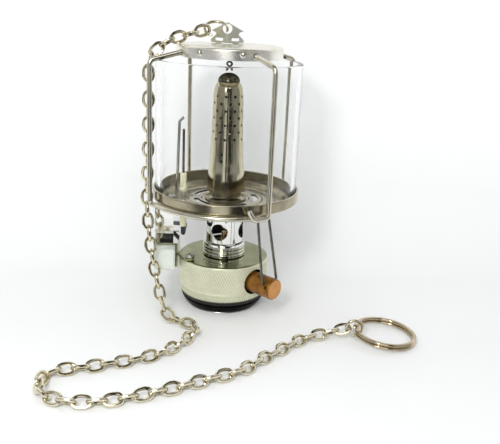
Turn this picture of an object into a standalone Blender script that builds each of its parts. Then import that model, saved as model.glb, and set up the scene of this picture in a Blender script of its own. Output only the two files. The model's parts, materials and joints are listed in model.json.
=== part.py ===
"""A compact gas lantern for a screw-on canister.

The lantern stands on its canister collar.  A valve body inside the knurled collar feeds a jet,
a mixing tube and a perforated burner.  A sheet metal dish carries the glass globe, and four
spring wires hold the globe and the top cap.  A hanging chain ends in a split key ring.

Everything is in metres.  +Z is up, the lantern's axis is x = y = 0, and the underside of the
base pad is z = 0.  The photograph's viewer stands at -Y.
"""

import math

import bmesh
import bpy
from mathutils import Matrix, Vector

MM = 0.001

# Clearances that every fit shares
GAP = 0.3 * MM
OVERRUN = 1.0 * MM
FUSE = 0.06 * MM

# Base pad: the black ring that the lantern stands on
PAD_HEIGHT = 4.0 * MM
PAD_TOP_R = 17.6 * MM
PAD_FOOT_R = 16.4 * MM
PAD_BORE_R = 12.8 * MM
PAD_EDGE = 0.7 * MM

# Knurled collar
COLLAR_R = 19.0 * MM
COLLAR_HEIGHT = 17.3 * MM
COLLAR_FOOT_R = 17.9 * MM
COLLAR_TAPER_HEIGHT = 5.3 * MM
COLLAR_GROOVE_WIDTH = 0.5 * MM
COLLAR_GROOVE_DEPTH = 0.35 * MM
COLLAR_CHAMFER = 0.9 * MM
COLLAR_BORE_R = 12.0 * MM
COLLAR_TOP_WALL = 2.2 * MM

# Valve body with the canister socket
VALVE_FOOT_Z = 1.2 * MM
SOCKET_R = 5.56 * MM
SOCKET_DEPTH = 9.0 * MM
NECK_R = 5.4 * MM
NECK_RISE = 3.0 * MM
PASSAGE_R = 0.8 * MM
NEEDLE_BORE_R = 1.8 * MM
GLAND_BORE_R = 3.0 * MM
GLAND_BORE_DEPTH = 3.6 * MM
SEAL_RING_R = 8.2 * MM
SEAL_WIRE_R = 0.9 * MM
SEAL_PROUD = 0.4 * MM

# Pin that opens the canister's valve
PIN_R = 0.8 * MM
PIN_LENGTH = 5.0 * MM
PIN_FLANGE_R = 2.2 * MM
PIN_FLANGE_HEIGHT = 1.0 * MM
PIN_SHANK_R = 0.5 * MM
PIN_SHANK_LENGTH = 1.2 * MM

# Control knob, its spindle and the folding wire bail
KNOB_AZIMUTH = math.radians(-45.0)
KNOB_HEIGHT_SHARE = 0.555
KNOB_R = 4.4 * MM
KNOB_PROUD = 11.2 * MM
KNOB_GLAND_CLEARANCE = 0.8 * MM
KNOB_EDGE = 0.5 * MM
KNOB_POCKET_CLEARANCE = 1.05 * MM
KNOB_BORE_DEPTH = 6.0 * MM
SPINDLE_R = 1.5 * MM
SPINDLE_TIP_LENGTH = 3.0 * MM
SPINDLE_TIP_R = 0.4 * MM
SPINDLE_START = 1.4 * MM
GLAND_FLANGE_R = 3.9 * MM
GLAND_FLANGE_LENGTH = 1.2 * MM
KEY_HOLE_R = 0.8 * MM
KEY_HOLE_INSET = 1.7 * MM
KEY_HOLE_TILT = math.radians(-20.0)
BAIL_WIRE_R = 0.55 * MM
BAIL_HOLE_INSET = 3.2 * MM
BAIL_HOLE_RISE_SHARE = 0.62
BAIL_TOP_WIDTH = 6.4 * MM
BAIL_TOP_CLEARANCE = 1.6 * MM
BAIL_LEAN = math.radians(11.0)
BAIL_BEND_R = 1.4 * MM
BAIL_FOOT_LENGTH = 1.9 * MM

# Jet, mixer flange and mixing tube
FLANGE_R = 9.0 * MM
FLANGE_WAIST_R = 8.2 * MM
FLANGE_HEIGHT = 5.7 * MM
FLANGE_LIP = 1.4 * MM
FLANGE_GROOVE = 0.5 * MM
FLANGE_ROOF = 2.4 * MM
JET_R = 2.6 * MM
JET_HEX_HEIGHT = 2.4 * MM
JET_LENGTH = 6.4 * MM
JET_TIP_R = 1.0 * MM
JET_SHANK_R = 1.4 * MM
JET_SHANK_LENGTH = 2.4 * MM
TUBE_R = 8.0 * MM
TUBE_WALL = 0.8 * MM
TUBE_LENGTH = 17.3 * MM
AIR_HOLE_R = 3.6 * MM
AIR_HOLE_RISE = 5.3 * MM
AIR_HOLE_AZIMUTH = math.radians(-106.0)
SPIGOT_R = 6.4 * MM
SPIGOT_RISE = 5.6 * MM

# Burner dish
SHEET = 0.7 * MM
DISH_R = 30.4 * MM
DISH_LEDGE_WIDTH = 4.7 * MM
DISH_STEP_WIDTH = 1.1 * MM
DISH_SEAT_R = DISH_R - DISH_LEDGE_WIDTH
DISH_FLOOR_R = DISH_SEAT_R - DISH_STEP_WIDTH
DISH_SEAT_RISE = 1.4 * MM
DISH_RIM_HEIGHT = 4.0 * MM
DISH_CORNER = 0.8 * MM
VENT_COUNT = 5
VENT_R = 12.6 * MM
VENT_WIDTH = 2.2 * MM
VENT_SPAN = math.radians(38.0)
VENT_AZIMUTH = math.radians(-143.0)
DISH_PIN_HOLE_R = 0.7 * MM
DISH_PIN_HOLE_AT = (-14.1 * MM, 0.4 * MM)

# Burner nut, perforated tube, cap and mantle hook
NUT_R = 8.7 * MM
NUT_HEIGHT = 3.2 * MM
NUT_CHAMFER = 0.5 * MM
BURNER_WALL = 0.6 * MM
BURNER_HEIGHT_SHARE = 0.811
BURNER_FOOT_R = 7.9 * MM
BURNER_RADIUS_SHARES = ((0.0, 1.0), (0.17, 0.955), (0.30, 0.885), (0.55, 0.815), (0.86, 0.765))
BURNER_SHOULDER_SHARES = ((0.935, 0.725), (0.975, 0.65), (1.0, 0.555))
HOLE_ROW_COUNT = 7
HOLES_PER_ROW_COUNT = 10
HOLE_R = 0.55 * MM
HOLE_BAND_SHARES = (0.495, 0.88)
SEAM_HOLE_R = 0.5 * MM
SEAM_HOLE_SHARES = (0.30, 0.36)
SEAM_AZIMUTH = math.radians(-104.0)
DOME_RISE = 3.3 * MM
DOME_PLUG = 0.8 * MM
HOOK_WIRE_R = 0.4 * MM
HOOK_RISE = 3.6 * MM
HOOK_HALF_WIDTH = 1.3 * MM

# Spark electrode
INSULATOR_SHARES = (-0.566, -0.263)
INSULATOR_AT = tuple(share * DISH_R for share in INSULATOR_SHARES)
INSULATOR_R = 1.35 * MM
INSULATOR_SHOULDER_R = 1.7 * MM
INSULATOR_SHOULDER_HEIGHT = 4.4 * MM
INSULATOR_RISE = 12.2 * MM
INSULATOR_DROP = 9.6 * MM
ROD_R = 0.55 * MM
ROD_TOP_SHARE = 0.592
ROD_FOOT_INSET = 2.0 * MM
GROUND_R = 0.6 * MM
GROUND_OFFSET = 2.75 * MM
GROUND_LEAN = 1.05 * MM
GROUND_TOP_SHARE = 0.704
GROUND_HOOK = 1.8 * MM
GROUND_BEND_R = 0.8 * MM

# Piezo igniter and its bracket
BUTTON_WIDTH = 8.5 * MM
BUTTON_HEIGHT = 9.0 * MM
BUTTON_PROUD = 6.0 * MM
BUTTON_HELD = 1.2 * MM
BUTTON_EDGE = 0.5 * MM
PRESS_TRAVEL = 3.4 * MM
PLUNGER_R = 1.7 * MM
PLUNGER_LENGTH = 6.0 * MM
HOUSING_WALL = 0.6 * MM
HOUSING_FRONT_Y = -5.0 * MM
HOUSING_LENGTH = 15.0 * MM
HOUSING_SIDE_CLEARANCE = 0.45 * MM
HOUSING_DROP = 5.4 * MM
PIEZO_LENGTH = 14.5 * MM
ARM_Y = 1.2 * MM
ARM_THICKNESS = 0.8 * MM
ARM_WIDTH = 7.8 * MM
TAB_MARGIN = 2.6 * MM
TAB_LEFT_MARGIN = 4.0 * MM
FOOT_SHARES = ((-1.05, -0.26), (-0.85, -0.63), (-0.65, -0.61), (-0.64, -0.44), (-0.79, -0.16),
               (-1.05, -0.16))
FOOT_SCREW_SHARES = (-0.735, -0.535)
SCREW_R = 1.1 * MM
SCREW_HEAD_R = 1.9 * MM
SCREW_HEAD_HEIGHT = 1.3 * MM
SCREW_LENGTH = 3.6 * MM
DISH_SCREW_CLEARANCE = 0.485586 * MM
DISH_SCREW_AZIMUTH = math.radians(-172.213646)
DISH_SCREW_REACH = DISH_FLOOR_R - DISH_SCREW_CLEARANCE - SCREW_HEAD_R
DISH_SCREW_AT = (DISH_SCREW_REACH * math.cos(DISH_SCREW_AZIMUTH),
                 DISH_SCREW_REACH * math.sin(DISH_SCREW_AZIMUTH))
LEAD_R = 1.0 * MM
LEAD_LOOP = 3.2 * MM

# Glass globe
GLOBE_CLEARANCE = 0.4 * MM
GLOBE_R = DISH_R - SHEET - GLOBE_CLEARANCE
GLOBE_WALL = 1.9 * MM
GLOBE_HEIGHT = 55.0 * MM
GLOBE_EDGE = 0.4 * MM

# Top cap and hanger lug
CAP_R = 21.2 * MM
CAP_HEIGHT = 4.5 * MM
CAP_RISE = 1.5 * MM
CAP_WALL = 0.7 * MM
CAP_CORNER = 1.2 * MM
CAP_DOME = 0.5 * MM
LUG_SHIFT = -1.2 * MM
LUG_FRONT_Y = -2.8 * MM
LUG_SHEET = 0.8 * MM
LUG_HALF_WIDTH = 6.6 * MM
LUG_HEIGHT = 8.7 * MM
LUG_FOLD = math.radians(33.0)
LUG_OUTLINE_SHARES = ((0.0, 1.0), (0.96, 0.56), (0.72, 0.50), (0.66, 0.40), (1.0, 0.12), (0.95, 0.0))
LUG_WINDOW_SHARES = ((0.26, 0.09), (0.70, 0.23))
LUG_EYE_R = 1.9 * MM
LUG_EYE_SHARE = 0.71
LUG_TAB_WIDTH = 2.4 * MM
LUG_TAB_DEPTH = 1.9 * MM
LUG_TAB_SHARE = 0.55

# Spring wires
WIRE_R = 1.0 * MM
WIRE_BEND_R = 2.6 * MM
WIRE_HOOK_BEND_R = 1.4 * MM
LEG_CLEARANCE = 1.9 * MM
LEG_R = DISH_R + WIRE_R + LEG_CLEARANCE
HOOP_CLEARANCE = 0.3 * MM
HOOP_R = DISH_R + WIRE_R + HOOP_CLEARANCE
FOOT_CLEARANCE = 0.5 * MM
FOOT_R = HOOP_R + WIRE_R + WIRE_R + FOOT_CLEARANCE
FOOT_SPAN = math.radians(11.0)
FOOT_TIP_RISE = 4.0 * MM
WIRE_EXIT_SHARE = 0.52
TUCK_CLEARANCE = 0.7 * MM
WIRE_INNER_R = CAP_R - CAP_WALL - WIRE_R - TUCK_CLEARANCE
WIRE_TIP_PROUD = 0.8 * MM
LEFT_LEG = math.radians(-155.0)
FRONT_LEG = math.radians(-60.0)
RIGHT_LEG = math.radians(35.0)
BACK_LEG = math.radians(122.0)
HOOP_END_MARGIN = math.radians(4.5)
TUCK_SPAN = math.radians(30.0)
SHORT_TUCK_SPAN = math.radians(15.0)

# Hanging chain, its two rings and the split key ring
LINK_LENGTH = 7.1 * MM
LINK_WIDTH = 5.0 * MM
LINK_WIRE_R = 0.55 * MM
LINK_BITE = 0.12 * MM
LUG_RING_R = 4.5 * MM
LUG_RING_WIRE_R = 0.6 * MM
LUG_RING_TILT = math.radians(34.0)
LUG_RING_MOUTH = (math.radians(-25.0), math.radians(255.0))
RING_LINK_R = 3.6 * MM
RING_LINK_WIRE_R = 0.6 * MM
RING_LINK_AT = (52.6 * MM, -34.6 * MM)
RING_LINK_MOUTH = (math.radians(-112.0), math.radians(222.0))
KEY_RING_R = 12.5 * MM
KEY_RING_WIDTH = 1.2 * MM
KEY_RING_THICKNESS = 1.1 * MM
KEY_RING_PITCH = 1.6 * MM
KEY_RING_TURN_COUNT = 1.9
KEY_RING_SEAT = (0.6 * MM, -0.95 * MM)
FLOOR_LIFT = 0.05 * MM

# Facets
FINE_COUNT = 38
ROUND_COUNT = 24
SMALL_COUNT = 12
TINY_COUNT = 6
HOLE_SIDE_COUNT = 4
WIRE_SIDE_COUNT = 6
RING_STEP_COUNT = 20
BEND_STEP_COUNT = 4
SMALL_BEND_STEP_COUNT = 3
HOOP_STEP_COUNT = 9
SMOOTH_ANGLE = math.radians(32.0)

# Heights that follow from the sizes above, from the pad up
COLLAR_FOOT_Z = PAD_HEIGHT + GAP
COLLAR_TOP_Z = COLLAR_FOOT_Z + COLLAR_HEIGHT
KNOB_Z = COLLAR_FOOT_Z + KNOB_HEIGHT_SHARE * COLLAR_HEIGHT
VALVE_TOP_Z = COLLAR_TOP_Z - COLLAR_TOP_WALL - GAP
NECK_TOP_Z = COLLAR_TOP_Z + NECK_RISE
SOCKET_TOP_Z = VALVE_FOOT_Z + SOCKET_DEPTH
FLANGE_FOOT_Z = COLLAR_TOP_Z + GAP
FLANGE_TOP_Z = FLANGE_FOOT_Z + FLANGE_HEIGHT
TUBE_FOOT_Z = FLANGE_TOP_Z + GAP
TUBE_TOP_Z = TUBE_FOOT_Z + TUBE_LENGTH
DISH_UNDER_Z = TUBE_TOP_Z + GAP
DISH_FLOOR_Z = DISH_UNDER_Z + SHEET
DISH_SEAT_Z = DISH_FLOOR_Z + DISH_SEAT_RISE
DISH_RIM_Z = DISH_SEAT_Z + DISH_RIM_HEIGHT
NUT_FOOT_Z = DISH_FLOOR_Z + GAP
NUT_TOP_Z = NUT_FOOT_Z + NUT_HEIGHT
BURNER_FOOT_Z = NUT_TOP_Z + GAP
GLOBE_FOOT_Z = DISH_SEAT_Z + GAP
GLOBE_TOP_Z = GLOBE_FOOT_Z + GLOBE_HEIGHT
BURNER_HEIGHT = BURNER_HEIGHT_SHARE * GLOBE_HEIGHT
BURNER_TOP_Z = BURNER_FOOT_Z + BURNER_HEIGHT
CAP_FOOT_Z = GLOBE_TOP_Z + CAP_RISE
CAP_TOP_Z = CAP_FOOT_Z + CAP_HEIGHT
WIRE_EXIT_Z = CAP_FOOT_Z + WIRE_EXIT_SHARE * CAP_HEIGHT

# Places that follow from the collar: the knob, the igniter and the lug ring
VALVE_R = COLLAR_BORE_R - GAP
KNOB_TIP = COLLAR_R + KNOB_PROUD
KNOB_ROOT = VALVE_R + GAP + GLAND_FLANGE_LENGTH + KNOB_GLAND_CLEARANCE
BAIL_PIVOT_REACH = KNOB_TIP - BAIL_HOLE_INSET
BAIL_PIVOT_RISE = BAIL_HOLE_RISE_SHARE * KNOB_R
HOUSING_HALF_WIDTH = BUTTON_WIDTH / 2 + GAP + HOUSING_WALL
HOUSING_HALF_HEIGHT = BUTTON_HEIGHT / 2 + GAP + HOUSING_WALL
IGNITER_X = -(COLLAR_R + HOUSING_SIDE_CLEARANCE + HOUSING_HALF_WIDTH)
IGNITER_Z = COLLAR_TOP_Z + HOUSING_DROP - HOUSING_HALF_HEIGHT
LUG_AXIS_Z = CAP_TOP_Z + LUG_EYE_SHARE * LUG_HEIGHT
LUG_RING_CENTRE = Vector((LUG_SHIFT - LUG_RING_R, LUG_FRONT_Y + LUG_SHEET, LUG_AXIS_Z - GAP))

# The chain's route from the lug ring to the ring link, chosen by hand
CHAIN_ROUTE = [Vector(point) * MM for point in (
    (-8.8, -2.3, 114.7), (-12.6, -3.9, 113.6), (-16.6, -5.4, 112.4), (-20.4, -6.8, 111.5),
    (-24.2, -8.0, 109.6), (-27.8, -8.9, 106.9), (-30.8, -9.5, 102.9), (-31.0, -9.6, 97.0),
    (-31.1, -9.7, 88.0), (-31.2, -9.8, 72.0), (-31.6, -9.9, 58.0), (-31.9, -10.0, 47.5),
    (-31.3, -12.2, 40.6), (-30.4, -14.4, 33.4), (-29.3, -16.3, 26.4), (-27.9, -17.8, 19.4),
    (-26.2, -19.6, 12.9), (-24.6, -21.9, 7.6), (-22.9, -24.4, 3.9), (-20.4, -26.1, 2.3),
    (-17.0, -28.0, 2.1), (-12.6, -29.8, 2.1), (-9.7, -33.8, 2.1), (-11.7, -40.4, 2.1),
    (-16.2, -48.4, 2.1), (-21.7, -54.5, 2.1), (-30.2, -59.7, 2.1), (-39.2, -63.0, 2.1),
    (-47.3, -66.0, 2.1), (-54.9, -67.8, 2.1), (-59.4, -71.9, 2.1), (-59.6, -78.8, 2.1),
    (-55.0, -85.0, 2.1), (-47.4, -87.4, 2.1), (-38.7, -86.9, 2.1), (-30.8, -84.8, 2.1),
    (-22.2, -81.2, 2.1), (-14.0, -77.5, 2.1), (-6.0, -73.2, 2.1), (2.0, -68.9, 2.1),
    (8.8, -64.7, 2.1), (14.9, -57.4, 2.1), (21.0, -51.4, 2.1), (27.2, -44.7, 2.1),
    (33.8, -39.2, 2.1), (39.9, -36.3, 2.3), (45.0, -35.1, 3.1), (50.3, -34.6, 4.3))]

FINISHES = {
    # finish: (colour, roughness, metallic)
    "black_rubber": ((0.015, 0.015, 0.016), 0.6, 0.0),
    "knurled_aluminium": ((0.72, 0.73, 0.70), 0.42, 0.9),
    "valve_brass": ((0.66, 0.47, 0.20), 0.30, 1.0),
    "steel": ((0.45, 0.44, 0.42), 0.32, 1.0),
    "amber_brass": ((0.62, 0.32, 0.06), 0.34, 0.8),
    "chrome": ((0.78, 0.77, 0.74), 0.12, 1.0),
    "dish_steel": ((0.55, 0.53, 0.46), 0.22, 1.0),
    "blued_steel": ((0.10, 0.10, 0.09), 0.25, 1.0),
    "ceramic": ((0.82, 0.80, 0.62), 0.35, 0.0),
    "white_plastic": ((0.83, 0.84, 0.80), 0.35, 0.0),
    "black_plastic": ((0.03, 0.03, 0.03), 0.45, 0.0),
    "glass": ((0.93, 0.96, 0.97), 0.05, 0.0),
    "cap_steel": ((0.74, 0.73, 0.68), 0.22, 1.0),
    "wire_steel": ((0.50, 0.48, 0.42), 0.28, 1.0),
    "nickel": ((0.60, 0.55, 0.44), 0.20, 1.0),
}


def clear_scene():
    for old in list(bpy.data.objects):
        bpy.data.objects.remove(old, do_unlink=True)


def finish(name):
    made = bpy.data.materials.get(name)
    if made is None:
        colour, roughness, metallic = FINISHES[name]
        made = bpy.data.materials.new(name)
        made.use_nodes = True
        shader = made.node_tree.nodes["Principled BSDF"]
        shader.inputs["Base Color"].default_value = (*colour, 1.0)
        shader.inputs["Roughness"].default_value = roughness
        shader.inputs["Metallic"].default_value = metallic
    return made


def solid(name, bm, finish_name, origin=Vector((0, 0, 0))):
    """Turn a bmesh in world coordinates into an object whose origin is at the given point."""
    bmesh.ops.recalc_face_normals(bm, faces=bm.faces)
    bmesh.ops.translate(bm, verts=bm.verts, vec=-Vector(origin))
    mesh = bpy.data.meshes.new(name)
    bm.to_mesh(mesh)
    bm.free()
    mesh.materials.append(finish(finish_name))
    mesh.shade_smooth()
    mesh.set_sharp_from_angle(angle=SMOOTH_ANGLE)
    made = bpy.data.objects.new(name, mesh)
    made.location = origin
    bpy.context.collection.objects.link(made)
    return made


def add_turned(bm, profile, segments, frame=Matrix.Identity(4)):
    """Turn a closed profile of (radius, height) pairs about the frame's Z axis."""
    rings = []
    for radius, height in profile:
        if radius == 0:
            rings.append([bm.verts.new(frame @ Vector((0, 0, height)))])
            continue
        ring = []
        for step in range(segments):
            angle = math.tau * step / segments
            ring.append(bm.verts.new(frame @ Vector(
                (radius * math.cos(angle), radius * math.sin(angle), height))))
        rings.append(ring)
    for lower, upper in zip(rings, rings[1:] + rings[:1]):
        if len(lower) == 1 and len(upper) == 1:
            continue
        for step in range(segments):
            after = (step + 1) % segments
            if len(lower) == 1:
                bm.faces.new((lower[0], upper[after], upper[step]))
            elif len(upper) == 1:
                bm.faces.new((lower[step], lower[after], upper[0]))
            else:
                bm.faces.new((lower[step], lower[after], upper[after], upper[step]))


def turned(name, profile, segments, finish_name, frame=Matrix.Identity(4), origin=(0, 0, 0)):
    bm = bmesh.new()
    add_turned(bm, profile, segments, frame)
    return solid(name, bm, finish_name, Vector(origin))


def rod_profile(radius, low, high, edge=0.0):
    """A plain round bar, with a chamfer where edge isn't zero."""
    if edge == 0:
        return [(0, low), (radius, low), (radius, high), (0, high)]
    return [(0, low), (radius - edge, low), (radius, low + edge), (radius, high - edge),
            (radius - edge, high), (0, high)]


def arc(centre, radius, start, end, steps):
    """Points of an arc in a profile's plane."""
    points = []
    for step in range(steps + 1):
        angle = start + (end - start) * step / steps
        points.append((centre[0] + radius * math.cos(angle), centre[1] + radius * math.sin(angle)))
    return points


def add_prism(bm, outline, low, high, frame=Matrix.Identity(4)):
    """Extrude a plane outline of (x, y) points from one height to another."""
    floor = [bm.verts.new(frame @ Vector((x, y, low))) for x, y in outline]
    roof = [bm.verts.new(frame @ Vector((x, y, high))) for x, y in outline]
    bm.faces.new(floor)
    bm.faces.new(roof)
    for index in range(len(outline)):
        after = (index + 1) % len(outline)
        bm.faces.new((floor[index], floor[after], roof[after], roof[index]))


def add_box(bm, low, high):
    add_prism(bm, [(low[0], low[1]), (high[0], low[1]), (high[0], high[1]), (low[0], high[1])],
              low[2], high[2])


def cutter(name, bm):
    """A closed shape that only Booleans use: it stays out of renders and of the model."""
    made = solid(name, bm, "steel")
    made.hide_render = True
    made.display_type = "WIRE"
    return made


def boolean(target, tool, operation="DIFFERENCE"):
    modifier = target.modifiers.new(tool.name, "BOOLEAN")
    modifier.operation = operation
    modifier.solver = "EXACT"
    modifier.object = tool
    return target


def rounded(points, radius, steps=4):
    """Replace each inner corner of a polyline by an arc of the given radius."""
    route = [points[0]]
    for before, corner, after in zip(points, points[1:], points[2:]):
        back = (before - corner).normalized()
        on = (after - corner).normalized()
        half = back.angle(on) / 2
        reach = min(radius / math.tan(half), (before - corner).length / 2,
                    (after - corner).length / 2)
        bend = reach * math.tan(half)
        centre = corner + (back + on).normalized() * (bend / math.sin(half))
        first = corner + back * reach - centre
        last = corner + on * reach - centre
        turn = first.angle(last)
        axis = first.cross(last).normalized()
        for step in range(steps + 1):
            route.append(centre + Matrix.Rotation(turn * step / steps, 3, axis) @ first)
    route.append(points[-1])
    return route


def smooth_route(points, steps=4):
    """A Catmull-Rom curve through the points."""
    ends = [points[0] * 2 - points[1]] + list(points) + [points[-1] * 2 - points[-2]]
    route = []
    for p0, p1, p2, p3 in zip(ends, ends[1:], ends[2:], ends[3:]):
        for step in range(steps):
            t = step / steps
            route.append(0.5 * (2 * p1 + (p2 - p0) * t + (2 * p0 - 5 * p1 + 4 * p2 - p3) * t ** 2
                                + (3 * p1 - p0 - 3 * p2 + p3) * t ** 3))
    route.append(points[-1].copy())
    return route


def add_sweep(bm, route, radius, sides, closed=False):
    """Sweep a round section along a route, mitred at its corners so that every facet is flat. A
    closed route joins its end to its start."""
    count = len(route)
    spans = count if closed else count - 1
    runs = [(route[(index + 1) % count] - route[index]).normalized() for index in range(spans)]
    before = runs[-1] if closed else runs[0]
    helper = Vector((0, 0, 1)) if abs(before.z) < 0.9 else Vector((1, 0, 0))
    side = before.cross(helper).normalized()
    rings = []
    for index, point in enumerate(route):
        after = runs[min(index, spans - 1)]
        mitre = (before + after).normalized()
        other = before.cross(side)
        ring = []
        for step in range(sides):
            angle = math.tau * (step + 0.5) / sides
            offset = radius * (math.cos(angle) * side + math.sin(angle) * other)
            offset -= before * (offset.dot(mitre) / before.dot(mitre))
            ring.append(bm.verts.new(point + offset))
        rings.append(ring)
        side = before.rotation_difference(after) @ side
        before = after
    pairs = list(zip(rings, rings[1:]))
    if closed:
        pairs.append((rings[-1], rings[0]))
    for lower, upper in pairs:
        for step in range(sides):
            after = (step + 1) % sides
            bm.faces.new((lower[step], lower[after], upper[after], upper[step]))
    if not closed:
        bm.faces.new(rings[0])
        bm.faces.new(rings[-1])


def swept(name, route, radius, sides, finish_name, closed=False, origin=(0, 0, 0)):
    bm = bmesh.new()
    add_sweep(bm, route, radius, sides, closed)
    return solid(name, bm, finish_name, Vector(origin))


def polar(radius, azimuth, height):
    return Vector((radius * math.cos(azimuth), radius * math.sin(azimuth), height))


def upright(x, y):
    return Matrix.Translation(Vector((x, y, 0)))


def knob_frame():
    """Local Z runs out along the spindle, local X is up and local Y is across."""
    out = polar(1, KNOB_AZIMUTH, 0)
    up = Vector((0, 0, 1))
    across = out.cross(up)
    frame = Matrix((up, across, out)).transposed().to_4x4()
    frame.translation = Vector((0, 0, KNOB_Z))
    return frame


def base_pad():
    profile = [(PAD_BORE_R, 0), (PAD_FOOT_R - PAD_EDGE, 0), (PAD_FOOT_R, PAD_EDGE),
               (PAD_TOP_R, PAD_HEIGHT), (PAD_BORE_R, PAD_HEIGHT)]
    return turned("base_pad", profile, FINE_COUNT, "black_rubber")


def knurled_collar():
    groove_z = COLLAR_FOOT_Z + COLLAR_TAPER_HEIGHT
    half = COLLAR_GROOVE_WIDTH / 2
    neck_bore = NECK_R + GAP
    profile = [
        (COLLAR_BORE_R, COLLAR_FOOT_Z),
        (COLLAR_FOOT_R, COLLAR_FOOT_Z),
        (COLLAR_R, groove_z - half),
        (COLLAR_R - COLLAR_GROOVE_DEPTH, groove_z),
        (COLLAR_R, groove_z + half),
        (COLLAR_R, COLLAR_TOP_Z - COLLAR_CHAMFER),
        (COLLAR_R - COLLAR_CHAMFER, COLLAR_TOP_Z),
        (neck_bore, COLLAR_TOP_Z),
        (neck_bore, COLLAR_TOP_Z - COLLAR_TOP_WALL),
        (COLLAR_BORE_R, COLLAR_TOP_Z - COLLAR_TOP_WALL),
    ]
    made = turned("knurled_collar", profile, FINE_COUNT, "knurled_aluminium")
    bm = bmesh.new()
    pocket = rod_profile(KNOB_R + KNOB_POCKET_CLEARANCE, COLLAR_BORE_R - OVERRUN,
                         COLLAR_R + OVERRUN)
    add_turned(bm, pocket, SMALL_COUNT, knob_frame())
    boolean(made, cutter("knob_pocket", bm))
    bm = bmesh.new()
    x, y = (share * COLLAR_R for share in FOOT_SCREW_SHARES)
    hole = rod_profile(SCREW_R + GAP, COLLAR_TOP_Z - COLLAR_TOP_WALL - OVERRUN,
                       COLLAR_TOP_Z + OVERRUN)
    add_turned(bm, hole, SMALL_COUNT, upright(x, y))
    return boolean(made, cutter("collar_screw_hole", bm))


def valve_body():
    seal_low = SEAL_RING_R - SEAL_WIRE_R - GAP
    seal_high = SEAL_RING_R + SEAL_WIRE_R + GAP
    seal_roof = VALVE_FOOT_Z - SEAL_PROUD + 2 * SEAL_WIRE_R + GAP
    bore = JET_SHANK_R + GAP
    bore_floor = NECK_TOP_Z - JET_SHANK_LENGTH - GAP
    profile = [
        (SOCKET_R, VALVE_FOOT_Z), (seal_low, VALVE_FOOT_Z), (seal_low, seal_roof),
        (seal_high, seal_roof), (seal_high, VALVE_FOOT_Z), (VALVE_R, VALVE_FOOT_Z),
        (VALVE_R, VALVE_TOP_Z), (NECK_R, VALVE_TOP_Z), (NECK_R, NECK_TOP_Z), (bore, NECK_TOP_Z),
        (bore, bore_floor), (PASSAGE_R, bore_floor), (PASSAGE_R, SOCKET_TOP_Z),
        (SOCKET_R, SOCKET_TOP_Z),
    ]
    made = turned("valve_body", profile, ROUND_COUNT, "valve_brass")
    bm = bmesh.new()
    step = VALVE_R - GLAND_BORE_DEPTH
    stepped = [(0, 0), (NEEDLE_BORE_R, 0), (NEEDLE_BORE_R, step), (GLAND_BORE_R, step),
               (GLAND_BORE_R, VALVE_R + OVERRUN), (0, VALVE_R + OVERRUN)]
    add_turned(bm, stepped, SMALL_COUNT, knob_frame())
    return boolean(made, cutter("needle_bore", bm))


def canister_seal():
    centre = VALVE_FOOT_Z - SEAL_PROUD + SEAL_WIRE_R
    profile = arc((SEAL_RING_R, centre), SEAL_WIRE_R, 0, math.tau, WIRE_SIDE_COUNT)[:-1]
    return turned("canister_seal", profile, ROUND_COUNT, "black_rubber")


def valve_pin():
    roof = SOCKET_TOP_Z - GAP
    flange = roof - PIN_FLANGE_HEIGHT
    tip = roof - PIN_LENGTH
    shank = roof + PIN_SHANK_LENGTH
    profile = [(0, tip), (PIN_R, tip), (PIN_R, flange), (PIN_FLANGE_R, flange),
               (PIN_FLANGE_R, roof), (PIN_SHANK_R, roof), (PIN_SHANK_R, shank), (0, shank)]
    return turned("valve_pin", profile, SMALL_COUNT, "steel")


def spindle_gland():
    inner = SPINDLE_R + GAP
    outer = GLAND_BORE_R - GAP
    start = VALVE_R - GLAND_BORE_DEPTH + GAP
    flange = VALVE_R + GAP
    end = flange + GLAND_FLANGE_LENGTH
    profile = [(inner, start), (outer, start), (outer, flange), (GLAND_FLANGE_R, flange),
               (GLAND_FLANGE_R, end), (inner, end)]
    return turned("spindle_gland", profile, SMALL_COUNT, "valve_brass", knob_frame())


def on_knob_axis(made):
    """Give a piece that turns with the knob the joint's origin and direction."""
    frame = knob_frame()
    made.data.transform(frame.inverted() @ Matrix.Translation(made.location))
    made.matrix_world = frame
    return made


def needle_spindle():
    end = KNOB_ROOT + KNOB_BORE_DEPTH - GAP
    shoulder = SPINDLE_START + SPINDLE_TIP_LENGTH
    profile = [(0, SPINDLE_START), (SPINDLE_TIP_R, SPINDLE_START), (SPINDLE_R, shoulder),
               (SPINDLE_R, end), (0, end)]
    return on_knob_axis(turned("needle_spindle", profile, SMALL_COUNT, "steel", knob_frame()))


def bail_offset():
    """Half the distance between the bail's legs where they pass the knob."""
    clear = KNOB_R + BAIL_WIRE_R + GAP / 2
    return math.sqrt(clear ** 2 - BAIL_PIVOT_RISE ** 2)


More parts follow.
